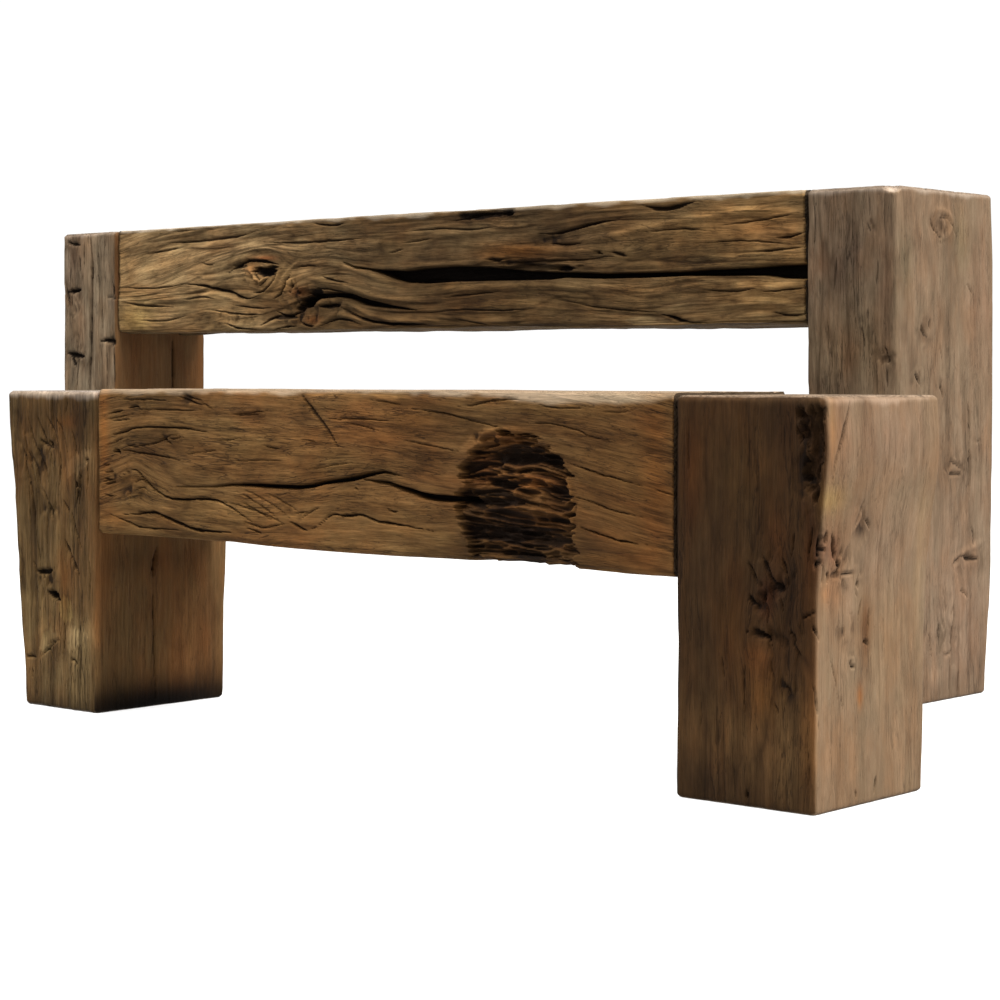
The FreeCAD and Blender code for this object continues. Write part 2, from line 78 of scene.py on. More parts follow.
def noise(x, y, z, seed):
    """Smooth noise from -1 to 1: a number hashed from each whole-number corner of space, blended by
    ease() between the eight corners round a point."""
    corner = [np.floor(value).astype(np.int64) for value in (x, y, z)]
    share = [ease(value - low) for value, low in zip((x, y, z), corner)]
    total = 0.0
    for turn in range(8):
        step = [(turn >> place) & 1 for place in range(3)]
        mixed = seed * 668265263
        for low, one, prime in zip(corner, step, (73856093, 19349663, 83492791)):
            mixed = mixed ^ ((low + one) * prime)
        mixed = (mixed ^ (mixed >> 13)) * 1274126177 & 0xFFFFFFFF
        mixed = (mixed ^ (mixed >> 15)) * 2246822519 & 0xFFFFFFFF
        value = ((mixed ^ (mixed >> 16)) & 0xFFFF) / 32767.5 - 1.0
        weight = 1.0
        for part, one in zip(share, step):
            weight = weight * (part if one else 1.0 - part)
        total = total + weight * value
    return total


def speckle(one, other, one_size, other_size, seed, layer=0.0):
    """Smooth noise over a face, with patches of the given sizes in its two directions. Another layer of
    the same seed is another noise."""
    return noise(one / one_size, other / other_size, 0 * one + layer, seed)


def ring_columns(spans, spacing, radius):
    """Columns round a rounded rectangle of the given spans, at the spacing asked of each side, which are
    in turn low b, high a, high b and low a. Each column's place is a share between the low and high
    limits plus a share of the radius, so one set of columns fits sections of any size."""
    columns = []
    for side in range(4):
        count = max(2, int(round(spans[side % 2] / spacing[side])))
        for share in np.arange(count) / count:
            columns.append((side, share, 0.0))
        turns = max(3, int(round(radius * 1.57 / spacing[side])))
        for turn in np.arange(turns) / turns:
            columns.append((side, 1.0, turn * np.pi / 2))
    side, share, turn = np.array(columns).T
    # one side lies along +a at low b; each later side is the last turned a quarter round
    along, across = 2 * share, -np.ones_like(share)
    lean_along = 1.0 - along
    lean_across = np.zeros_like(share)
    cornered = share == 1.0
    lean_along = np.where(cornered, np.sin(turn) - 1.0, lean_along)
    lean_across = np.where(cornered, 1.0 - np.cos(turn), lean_across)
    out_along = np.where(cornered, np.sin(turn), 0.0)
    out_across = np.where(cornered, -np.cos(turn), -1.0)
    along = along - 1.0
    spin_cos, spin_sin = np.round(np.cos(side * np.pi / 2)), np.round(np.sin(side * np.pi / 2))

    def spun(one, other):
        return one * spin_cos - other * spin_sin, one * spin_sin + other * spin_cos
    return spun(along, across), spun(lean_along, lean_across), spun(out_along, out_across)


def stations(low, high, step, dense):
    """Places from low to high a step apart; between the first two values of dense the third is the step."""
    parts = [(low, high, step)] if dense is None else [
        (low, dense[0], step), (dense[0], dense[1], dense[2]), (dense[1], high, step)]
    places = [np.linspace(start, end, max(2, int(round((end - start) / gap))), endpoint=False)
              for start, end, gap in parts]
    return np.concatenate(places + [[high]])


# Rows over an eased edge, how small a share of the section a cap's innermost row is, and the smallest
# radius of an arris
EASE_ROWS = 4
CAP_MIDDLE = 0.02
LEAST_ARRIS = 0.0005


def timber_skin(length, step, limits, radius, spacing, ease_low, ease_high, caps, flat_top=None, dense=None):
    """Points and outward ways of a timber as a grid of rows by columns. Rows run over the low cap, round
    its eased edge, along the length, and over the other end. A point is the section's middle plus half
    its span times the column's share, less the easing; on a cap it draws in to the middle by the
    row's shrink. Coordinates are a and b across the timber, b no higher than flat_top, and c along it.
    The first and the last row of the length are given too."""
    turn = np.linspace(0.0, np.pi / 2, EASE_ROWS + 1)
    body = stations(ease_low, length - ease_high, step, dense)
    low_caps, high_caps = (np.linspace(CAP_MIDDLE, 1.0, count)[:-1] for count in caps)
    c = np.concatenate([
        0 * low_caps, ease_low * (1 - np.cos(turn[:-1])), body,
        length - ease_high * (1 - np.sin(turn[1:])), length + 0 * high_caps])
    inset = np.concatenate([
        ease_low + 0 * low_caps, ease_low * (1 - np.sin(turn[:-1])), 0 * body,
        ease_high * (1 - np.cos(turn[1:])), ease_high + 0 * high_caps])
    shrink = np.concatenate([low_caps, np.ones(2 * EASE_ROWS + len(body)), high_caps[::-1]])
    rise = np.concatenate([
        -1 + 0 * low_caps, -np.cos(turn[:-1]), 0 * body, np.sin(turn[1:]), 1 + 0 * high_caps])
    a0, a1, b0, b1 = limits(c)
    spans = (np.max(a1 - a0), np.max(b1 - b0))
    place, lean, out = ring_columns(spans, spacing, radius)
    low, high = (a0 + inset, b0 + inset), (a1 - inset, b1 - inset)
    arris = np.maximum(radius - inset, LEAST_ARRIS)
    across = []
    for axis in range(2):
        middle, half = (low[axis] + high[axis]) / 2, (high[axis] - low[axis]) / 2
        value = middle[:, None] + half[:, None] * place[axis] + arris[:, None] * lean[axis]
        if axis == 1 and flat_top is not None:
            value = np.minimum(value, flat_top)
        across.append(middle[:, None] + shrink[:, None] * (value - middle[:, None]))
    side = np.sqrt(1 - rise ** 2)[:, None]
    points = np.stack([across[0], across[1], c[:, None] + 0 * across[0]], -1)
    ways = np.stack([side * out[0], side * out[1], rise[:, None] + 0 * across[0]], -1)
    first = len(low_caps) + EASE_ROWS
    return points, ways, shrink, (first, first + len(body) - 1)


def facing(ways, way, start=0.35, full=0.8):
    """How far a surface faces a way, from 0 to 1: the ease of the cosine between start and full."""
    return ease((ways @ np.array(way, float) - start) / (full - start))


def nearest(u, v, line, within):
    """How far points u, v lie from a bent line, and how far along it their nearest place is, as a share
    of its length. Points further than the given distance aren't worked out and get a large number."""
    runs = np.linalg.norm(np.diff(line, axis=0), axis=1)
    reach = np.concatenate([[0.0], np.cumsum(runs)]) / runs.sum()
    gap, along = np.full(u.shape, 9.0), np.zeros(u.shape)
    low, high = line.min(0) - within, line.max(0) + within
    near = (u > low[0]) & (u < high[0]) & (v > low[1]) & (v < high[1])
    pu, pv = u[near], v[near]
    found, place = np.full(pu.shape, 9.0), np.zeros(pu.shape)
    for start, end, near_end, far_end in zip(line[:-1], line[1:], reach[:-1], reach[1:]):
        run = end - start
        share = np.clip(((pu - start[0]) * run[0] + (pv - start[1]) * run[1]) / (run @ run), 0, 1)
        away = np.hypot(pu - start[0] - share * run[0], pv - start[1] - share * run[1])
        nearer = away < found
        found = np.where(nearer, away, found)
        place = np.where(nearer, near_end + share * (far_end - near_end), place)
    gap[near], along[near] = found, place
    return gap, along


def rounded(line):
    """A bent line with its corners cut twice, each time at a quarter and three quarters of every run."""
    line = np.array(line, float)
    for _ in range(2):
        quarter = line[:-1] * 0.75 + line[1:] * 0.25
        further = line[:-1] * 0.25 + line[1:] * 0.75
        line = np.concatenate([line[:1], np.stack([quarter, further], 1).reshape(-1, 2), line[-1:]])
    return line


def within_outline(u, v, outline):
    """Whether points lie inside a closed line: a level ray from each crosses it an odd number of times."""
    inside = np.zeros(u.shape, bool)
    for start, end in zip(outline, np.roll(outline, -1, axis=0)):
        if start[1] != end[1]:
            crossing = start[0] + (v - start[1]) * (end[0] - start[0]) / (end[1] - start[1])
            inside ^= ((start[1] > v) != (end[1] > v)) & (u < crossing)
    return inside


# How far a noise moves the frayed edge of a scrape or a rotted bed
FRAY = 0.006


class Surface:
    """One timber while it is worked: its points and outward ways, how deep each point has been taken
    into the wood, how black, dirty, pale and rough it is, its colour over the plain wood's, and where it
    lies in the grain."""

    def __init__(self, points, ways, shrink, body, along_axis):
        self.points, self.ways, self.along_axis = points, ways, along_axis
        self.shrink, self.body = shrink, body
        self.depth = np.zeros(points.shape[:2])
        self.dark = np.zeros(points.shape[:2])
        self.dirt = np.zeros(points.shape[:2])
        self.pale = np.zeros(points.shape[:2])
        self.tint = np.ones(points.shape)
        self.rough = np.ones(points.shape[:2])
        self.grain = points.copy()

    def seen_from(self, face, start=0.35, full=0.8):
        """The two coordinates of a face square to X or Y, the level one and the height, and how far
        each point looks the face's way. A face is (axis, its place on the axis, the way it looks)."""
        axis, _, way = face
        return self.points[..., 1 - axis], self.points[..., 2], facing(self.ways, way, start, full)

    def on_face(self, face, pixels):
        """Pixels of the photograph as the two coordinates of a face, with one pixel's size there."""
        axis, place, _ = face
        on = seen_on(pixels, axis, place)
        return on[:, [1 - axis, 2]], np.linalg.norm(on.mean(0) - CAMERA_AT) / FOCAL_PIXELS

    def from_oval(self, face, oval):
        """How far each point lies from the middle of an oval, along the face and up it, and the oval's
        half width and half height there. The oval is (pixel across, pixel down, half width, half
        height in pixels)."""
        across, down, half_across, half_down = oval
        on, pixel = self.on_face(face, [
            (across, down), (across - half_across, down), (across + half_across, down)])
        along, up = self.points[..., 1 - face[0]] - on[0, 0], self.points[..., 2] - on[0, 1]
        return along, up, abs(on[2, 0] - on[1, 0]) / 2, half_down * pixel

    def cracks(self, face, rows, seed=3, weight=1.0):
        """Cracks along lines of the photograph's pixels. Each row is (width in pixels, depth in mm,
        line). The line's bends are rounded and it wanders by a fine noise. A crack is a rounded trench
        that tapers over a third of its length at both ends, with worn lips that fade as e to the minus
        the distance from it. The weight is over every width and depth."""
        u, v, seen = self.seen_from(face)
        wide, high = (speckle(u, v, 0.012, 0.012, seed, layer) for layer in (0.5, 7.5))
        stray = 0.0009
        for width, depth, line in rows:
            width, depth = width * weight, depth * weight
            line_uv, pixel = self.on_face(face, rounded(line))
            gap, along = nearest(u + stray * wide, v + stray * high, line_uv, 5 * width * pixel)
            taper = 0.15 + 0.85 * ease(np.minimum(along, 1 - along) / 0.33)
            share = gap / (width * pixel / 2 * taper * (1 + 0.35 * wide))
            trench = np.sqrt(np.clip(1 - share ** 2, 0, 1))
            lips = np.exp(-np.clip(share - 0.7, 0, None) * 1.5)
            self.depth += seen * MM * depth * (trench * (0.4 + 0.6 * taper) + 0.16 * lips * taper)
            black = min(1.0, 0.4 + depth / 16)
            self.dark = np.maximum(self.dark, seen * black * trench ** 0.5)
            self.dirt = np.maximum(self.dirt, seen * 0.55 * black * lips)

    def gap_between(self, face, upper, lower, depth):
        """An open split between two lines of the photograph's pixels, in mm deep: at each place along
        it the height of both lips is read off the lines, and the wall falls away within 4 mm of them.
        The wear round its lips fades as e to the minus the distance over 6 mm, and over the split's
        last 25 mm at both ends."""
        u, v, seen = self.seen_from(face)
        top, low = (self.on_face(face, line)[0] for line in (upper, lower))
        over = np.interp(u, top[:, 0], top[:, 1], left=-1.0, right=-1.0) - v
        under = v - np.interp(u, low[:, 0], low[:, 1], left=1.0, right=1.0)
        inside = np.minimum(over, under)
        fade = ease((u - top[:, 0].min()) / 0.025) * ease((top[:, 0].max() - u) / 0.025)
        lips = fade * np.exp(-np.abs(inside) / 0.006) * (np.abs(inside) < 0.03)
        self.depth += seen * MM * (depth * ease((inside + 0.0006) / 0.004) + 1.4 * lips)
        self.dark = np.maximum(self.dark, seen * ease((inside + 0.0002) / 0.003))
        self.dirt = np.maximum(self.dirt, seen * 0.6 * lips)

    def ridges(self, face, rows):
        """Proud ridges of sound wood: rows of (half width in pixels, height in mm, line) that leave the
        surface higher along the line and its crest paler, as rubbed wood and as a painted highlight, fading
        as e to the minus the share squared."""
        u, v, seen = self.seen_from(face)
        for width, height, line in rows:
            line_uv, pixel = self.on_face(face, rounded(line))
            gap, along = nearest(u, v, line_uv, 4 * width * pixel)
            crest = np.exp(-(gap / (width * pixel)) ** 2) * ease(np.minimum(along, 1 - along) / 0.2)
            self.depth = np.maximum(self.depth - seen * MM * height * crest, 0)
            self.tint = self.tint * (1 + 0.1 * height * seen * crest)[..., None]

    def hollows(self, face, rows, seed):
        """Rotted hollows: rows of (an oval's four values, depth in mm, darkness). A ragged oval bowl:
        the square root of 1 less the squared share, with a noise on the share."""
        u, v, seen = self.seen_from(face)
        ragged = speckle(u, v, 0.02, 0.006, seed) * 0.35 + speckle(u, v, 0.008, 0.003, seed + 1) * 0.2
        for *oval, depth, dark in rows:
            along, up, half_wide, half_high = self.from_oval(face, oval)
            away = np.hypot(along / half_wide, up / half_high)
            bowl = np.sqrt(np.clip(1 - (away + ragged * ease(away)) ** 2, 0, 1))
            self.depth += seen * MM * depth * bowl
            self.dark = np.maximum(self.dark, seen * np.clip(bowl * 1.5, 0, 1) * dark)
            self.dirt = np.maximum(self.dirt, seen * 0.75 * dark * ease((1.7 - away - ragged) / 0.8))

    def gnarls(self, face, rows, seed, black=0.75):
        """Gnarled wood round knots: rows of (an oval's four values, depth in mm). Two twisted noises
        make short pits and lumps, which sink the wood and darken it, the deepest as black as told, by
        e to the minus r squared."""
        u, v, seen = self.seen_from(face)
        twist, turned = (0.01 * speckle(u, v, 0.025, 0.025, seed, 3.5 * turn) for turn in range(2))
        pits = speckle(u + twist, v + turned, 0.011, 0.02, seed + 1)
        pits = pits + 0.5 * speckle(u + turned, v + twist, 0.005, 0.009, seed + 2)
        for *oval, depth in rows:
            along, up, half_wide, half_high = self.from_oval(face, oval)
            away = np.hypot(along / half_wide, up / half_high)
            share = seen * np.exp(-away ** 2)
            self.depth += share * MM * depth * ease((pits + 0.1) / 0.6)
            self.dark = np.maximum(self.dark, share * black * ease((pits - 0.45) / 0.2))
            self.dirt = np.maximum(self.dirt, share * 0.7 * ease((pits - 0.1) / 0.3))

    def knots(self, face, rows):
        """The grain bends round knots: rows of (an oval's four values, strength). The grain's own
        coordinate across it is drawn towards the knot's by the strength times e to the minus r
        squared, so that the lines spread round it."""
        for *oval, strength in rows:
            along, up, half_wide, half_high = self.from_oval(face, oval)
            pull = strength * np.exp(-((along / half_wide) ** 2 + (up / half_high) ** 2))
            if self.along_axis == 2:
                self.grain[..., 1 - face[0]] -= along * pull
            else:
                self.grain[..., 2] -= up * pull

    def flow(self, face, lines):
        """The grain follows lines of the photograph's pixels, from the top one down. Each line counts as
        its mean height, and between two lines the height runs straight. It fades into the wood as e
        to the minus the squared share of 60 mm."""
        axis, place, _ = face
        u, v, _ = self.seen_from(face)
        heights, means = [], []
        for line in lines:
            on = self.on_face(face, rounded(line))[0]
            order = np.argsort(on[:, 0])
            heights.append(np.interp(u, on[order, 0], on[order, 1]))
            means.append(on[:, 1].mean())
        flowing = means[0] + np.maximum(v - heights[0], 0) + np.minimum(v - heights[-1], 0)
        for above, below, high, low in zip(heights[:-1], heights[1:], means[:-1], means[1:]):
            flowing -= np.clip((above - v) / np.maximum(above - below, 0.002), 0, 1) * (high - low)
        inward = np.abs(self.points[..., axis] - place)
        self.grain[..., 2] += (flowing - v) * np.exp(-(inward / 0.06) ** 2)

    def wander(self, amount, seed):
        """The grain wanders sideways, in mm, by two slow noises drawn out along it."""
        across = [axis for axis in range(3) if axis != self.along_axis]
        along = self.points[..., self.along_axis]
        one, other = (self.points[..., axis] for axis in across)
        for turn, axis in enumerate(across):
            self.grain[..., axis] += MM * amount * (
                noise(along / 0.22, one / 0.07, other / 0.07, seed + turn)
                + 0.35 * noise(along / 0.07, one / 0.025, other / 0.025, seed + turn + 5))

    def stains_and_painted_light(self, face, rows):
        """Soft patches of another colour over the wood's own: stains, and in some rows painted shade or
        painted light. Each row is (an oval's four values, (red, green, blue) over the wood's own). A patch
        fades as e to the minus r squared."""
        u, v, seen = self.seen_from(face, 0.1, 0.6)
        for across, down, half_across, half_down, colour in rows:
            on, _ = self.on_face(face, [(across, down), (across - half_across, down),
                                        (across + half_across, down), (across, down + half_down)])
            half_u, half_v = abs(on[2, 0] - on[1, 0]) / 2, abs(on[3, 1] - on[0, 1])
            away = ((u - on[0, 0]) / half_u) ** 2 + ((v - on[0, 1]) / half_v) ** 2
            share = (seen * np.exp(-away))[..., None]
            self.tint = self.tint * (1 - share) + self.tint * np.array(colour) * share

    def scrapes(self, face, rows, seed):
        """Wood bared by a tool or a knock: rows of (closed line of the photograph's pixels, (red, green,
        blue) over the wood's own). Inside the line, frayed along the grain by a noise, the colour is
        the given one, and the surface is 0.8 mm lower."""
        u, v, seen = self.seen_from(face)
        if self.along_axis == 2:
            shifted = (u, v + FRAY * speckle(u, v, 0.003, 0.03, seed))
        else:
            shifted = (u + FRAY * speckle(u, v, 0.03, 0.003, seed), v)
        for outline, colour in rows:
            edge = self.on_face(face, outline)[0]
            gap, _ = nearest(*shifted, np.concatenate([edge, edge[:1]]), 0.02)
            share = seen * within_outline(*shifted, edge) * ease(gap / 0.003)
            self.depth += MM * 0.8 * share
            self.tint = self.tint * (1 + share[..., None] * (np.array(colour) - 1))

    def paint(self, way, colour):
        """Another colour for all that faces a way, over the wood's own."""
        share = facing(self.ways, way, 0.2, 0.75)[..., None]
        self.tint = self.tint * (1 + share * (np.array(colour) - 1))

    def weather(self, hewn, groove, fibre, layer, seed, calm=()):
        """What the axe and the weather leave, as depths in mm: slow hewn waves; rounded ridges with
        sharp creases between them, as 1 less the size of a noise drawn out along the grain, squared, in
        three sizes; split layers, whose depth grows across the grain and then steps back; and fine
        fibres. Faces named in calm have less, each by its share."""
        order = [self.along_axis] + [axis for axis in range(3) if axis != self.along_axis]
        along, one, other = (self.grain[..., axis] for axis in order)
        plain = [self.points[..., axis] for axis in order]

        def drawn_out(far, near, turn):
            return noise(along / far, one / near, other / near, seed + turn)
        waves = noise(plain[0] / 0.16, plain[1] / 0.06, plain[2] / 0.06, seed)
        # each size of ridge: its length along the grain, its width across it, its part in the whole
        sizes = ((0.21, 0.023, 0.5), (0.12, 0.0115, 0.3), (0.07, 0.0055, 0.2))
        folds = [np.abs(drawn_out(far, near, turn)) for turn, (far, near, _) in enumerate(sizes, 1)]
        hair = drawn_out(0.03, 0.0028, 4)
        where = ease(0.65 + 0.9 * drawn_out(0.2, 0.05, 5))
        layers = (one + other) / 0.026 + 1.1 * drawn_out(0.16, 0.05, 6)
        layers = layers - np.floor(layers)
        layers = layers * ease((1 - layers) / 0.12) * ease(0.2 + 1.3 * drawn_out(0.1, 0.03, 7))
        side = np.sqrt(1 - self.ways[..., self.along_axis] ** 2)
        for way, share in calm:
            self.rough *= 1 - (1 - share) * facing(self.ways, way, 0.2, 0.75)
        side = side * self.rough
        worn = (0.3 + 0.7 * where) * sum(part * (1 - fold) ** 2 for fold, (_, _, part) in zip(folds, sizes))
        depth = hewn * (0.5 + 0.5 * waves) + groove * worn + layer * layers + fibre * (0.5 + 0.5 * hair)
        self.depth += side * depth * MM
        creases = sum(part * np.exp(-fold / 0.1) for fold, part in zip(folds, (0.9, 0.6, 0.4)))
        hidden = where * creases * min(1.0, 0.6 + groove / 8)
        hidden = hidden + 0.35 * ease((layers - 0.5) / 0.5) * min(1.0, layer)
        self.dirt = np.maximum(self.dirt, side * np.clip(hidden, 0, 0.8))

    def splits(self, way, half_wide, depth, seed):
        """Drying splits, in mm, on a face that the photograph doesn't show. Lines 45 mm apart follow the
        grain, bent by two noises, and each opens only in the stretches that a noise of its own picks."""
        apart = 45
        along = self.grain[..., self.along_axis]
        across = self.grain.sum(-1) - along
        bent = across + 0.014 * speckle(along, across, 0.22, 0.15, seed)
        line = (bent + 0.02 * speckle(0 * along, across, 1.0, 0.07, seed + 2)) / (MM * apart)
        number = np.round(line)
        away = np.abs(line - number) * apart
        where = ease(-0.3 + 1.7 * noise(along / 0.24, 7.3 * number, 0 * along, seed + 1))
        trench = np.sqrt(np.clip(1 - (away / half_wide / np.maximum(where, 0.1)) ** 2, 0, 1)) * where
        lips = np.exp(-np.clip(away - half_wide, 0, None) / 3) * where
        seen = facing(self.ways, way, 0.5, 0.9)
        self.depth += seen * MM * (depth * trench + 0.6 * lips)
        self.dark = np.maximum(self.dark, seen * 0.85 * trench)
        self.dirt = np.maximum(self.dirt, seen * 0.45 * lips)

    def worn_arris(self, amount, seed):
        """Chips and wear along the long arrises, in mm: the part of a noise along the grain that rises
        over a threshold, where the surface faces two ways at once. Each arris reads the noises at a
        place of its own."""
        one, other = (self.ways[..., axis] for axis in range(3) if axis != self.along_axis)
        corner = np.clip(2 * np.abs(one * other), 0, 1)
        along = self.points[..., self.along_axis]
        arris = (3.7 * np.sign(one), 5.3 * np.sign(other))
        chip, slow = noise(along / 0.035, *arris, seed), noise(along / 0.14, *arris, seed + 1)
        self.depth += MM * amount * corner * (np.clip(chip - 0.15, 0, 1) + 0.5 * np.clip(slow, 0, 1))

    def bleached_and_painted_top_light(self, share):
        """Painted light from above, partly sun and rain bleaching: what looks up is painted paler and what
        looks down darker, the colour growing by the share times how much further up the worked surface faces
        than the sound timber did."""
        worked = self.finished()
        across = np.roll(worked, -1, axis=1) - np.roll(worked, 1, axis=1)
        square = np.cross(np.gradient(worked, axis=0), across)
        square /= np.maximum(np.linalg.norm(square, axis=-1, keepdims=True), 1e-12)
        square *= np.sign((square * self.ways).sum(-1, keepdims=True))
        rise = np.clip(square[..., 2] - self.ways[..., 2], -0.6, 0.6)
        rise = rise * (1 - self.ways[..., self.along_axis] ** 2)
        self.tint = self.tint * (1 + share * rise)[..., None]

    def finished(self):
        """The points moved into the wood by their depths. Beyond the length's first and last row the
        ends follow those rows sideways, shrunk with the cap, so that no rim stands proud of them."""
        moved = self.points - self.ways * self.depth[..., None]
        axial = np.zeros(3)
        axial[self.along_axis] = 1.0
        first, last = self.body
        for beyond, edge in ((slice(0, first), first), (slice(last + 1, None), last)):
            aside = (moved[edge] - self.points[edge]) * (1 - axial)
            moved[beyond] = (moved[beyond] * axial + self.points[beyond] * (1 - axial)
                             + self.shrink[beyond, None, None] * aside)
        return moved


def timber_object(name, surface, pith):
    """A closed mesh of the worked grid: quads between its rows, with a fan round a pole at each end. It
    carries the grain's coordinates, along and across from the pith. Its marks hold how black, how much
    end grain, how pale and how dirty it is, and its tint the colour over the wood's own and how rough."""
    points = surface.finished()
    rows, columns = points.shape[:2]
    row, column = np.meshgrid(np.arange(rows - 1), np.arange(columns), indexing="ij")
    ahead = (column + 1) % columns
    quads = np.stack([row * columns + column, row * columns + ahead, (row + 1) * columns + ahead,
                      (row + 1) * columns + column], -1).reshape(-1, 4)
    ring = np.arange(columns)
    low_pole, high_pole = rows * columns, rows * columns + 1
    low_fan = np.stack([np.roll(ring, -1), ring, np.full(columns, low_pole)], -1)
    high = (rows - 1) * columns + ring
    high_fan = np.stack([high, np.roll(high, -1), np.full(columns, high_pole)], -1)

    def with_poles(values):
        poles = [values[end].reshape(columns, -1).mean(0) for end in (0, -1)]
        return np.concatenate([values.reshape(rows * columns, -1), poles])
    mesh = bpy.data.meshes.new(name)
    mesh.from_pydata(with_poles(points).tolist(), [], quads.tolist() + low_fan.tolist() + high_fan.tolist())
    mesh.polygons.foreach_set("use_smooth", np.ones(len(mesh.polygons), bool))

    def carry(label, kind, key, values):
        flat = values.astype(np.float32).ravel()
        mesh.attributes.new(label, kind, "POINT").data.foreach_set(key, flat)
    along_axis = surface.along_axis
    order = [along_axis] + [axis for axis in range(3) if axis != along_axis]
    carry("grain", "FLOAT_VECTOR", "vector", with_poles(surface.grain)[:, order] - np.array([0.0, *pith]))
    ends = ease((np.abs(with_poles(surface.ways)[:, along_axis]) - 0.6) / 0.35)
    dark, pale, dirt = (with_poles(value)[:, 0] for value in (surface.dark, surface.pale, surface.dirt))
    carry("marks", "FLOAT_COLOR", "color", np.stack([dark, ends, pale, dirt], -1))
    tint = np.concatenate([with_poles(surface.tint), with_poles(surface.rough)], 1)
    carry("tint", "FLOAT_COLOR", "color", tint)
    mesh.update()
    timber = bpy.data.objects.new(name, mesh)
    bpy.context.scene.collection.objects.link(timber)
    return timber


def set_inputs(node, inputs):
    """Gives a node's inputs their values, or joins them to another node's sockets."""
    for key, value in inputs.items():
        if isinstance(value, bpy.types.NodeSocket):
            node.id_data.links.new(value, node.inputs[key])
        else:
            node.inputs[key].default_value = value


def new_node(tree, kind, inputs=(), **settings):
    """A new node of a kind in a material's tree, with its inputs and settings."""
    made = tree.nodes.new("ShaderNode" + kind)
    for key, value in settings.items():
        setattr(made, key, value)
    set_inputs(made, dict(inputs))
    return made


def new_ramp(tree, value, stops):
    """Colours read off a value, from one (place, colour) stop to the next."""
    made = new_node(tree, "ValToRGB", {"Fac": value})
    elements = made.color_ramp.elements
    while len(elements) < len(stops):
        elements.new(0.5)
    for element, (place, colour) in zip(elements, stops):
        element.position, element.color = place, (*colour, 1.0)
    return made.outputs["Color"]


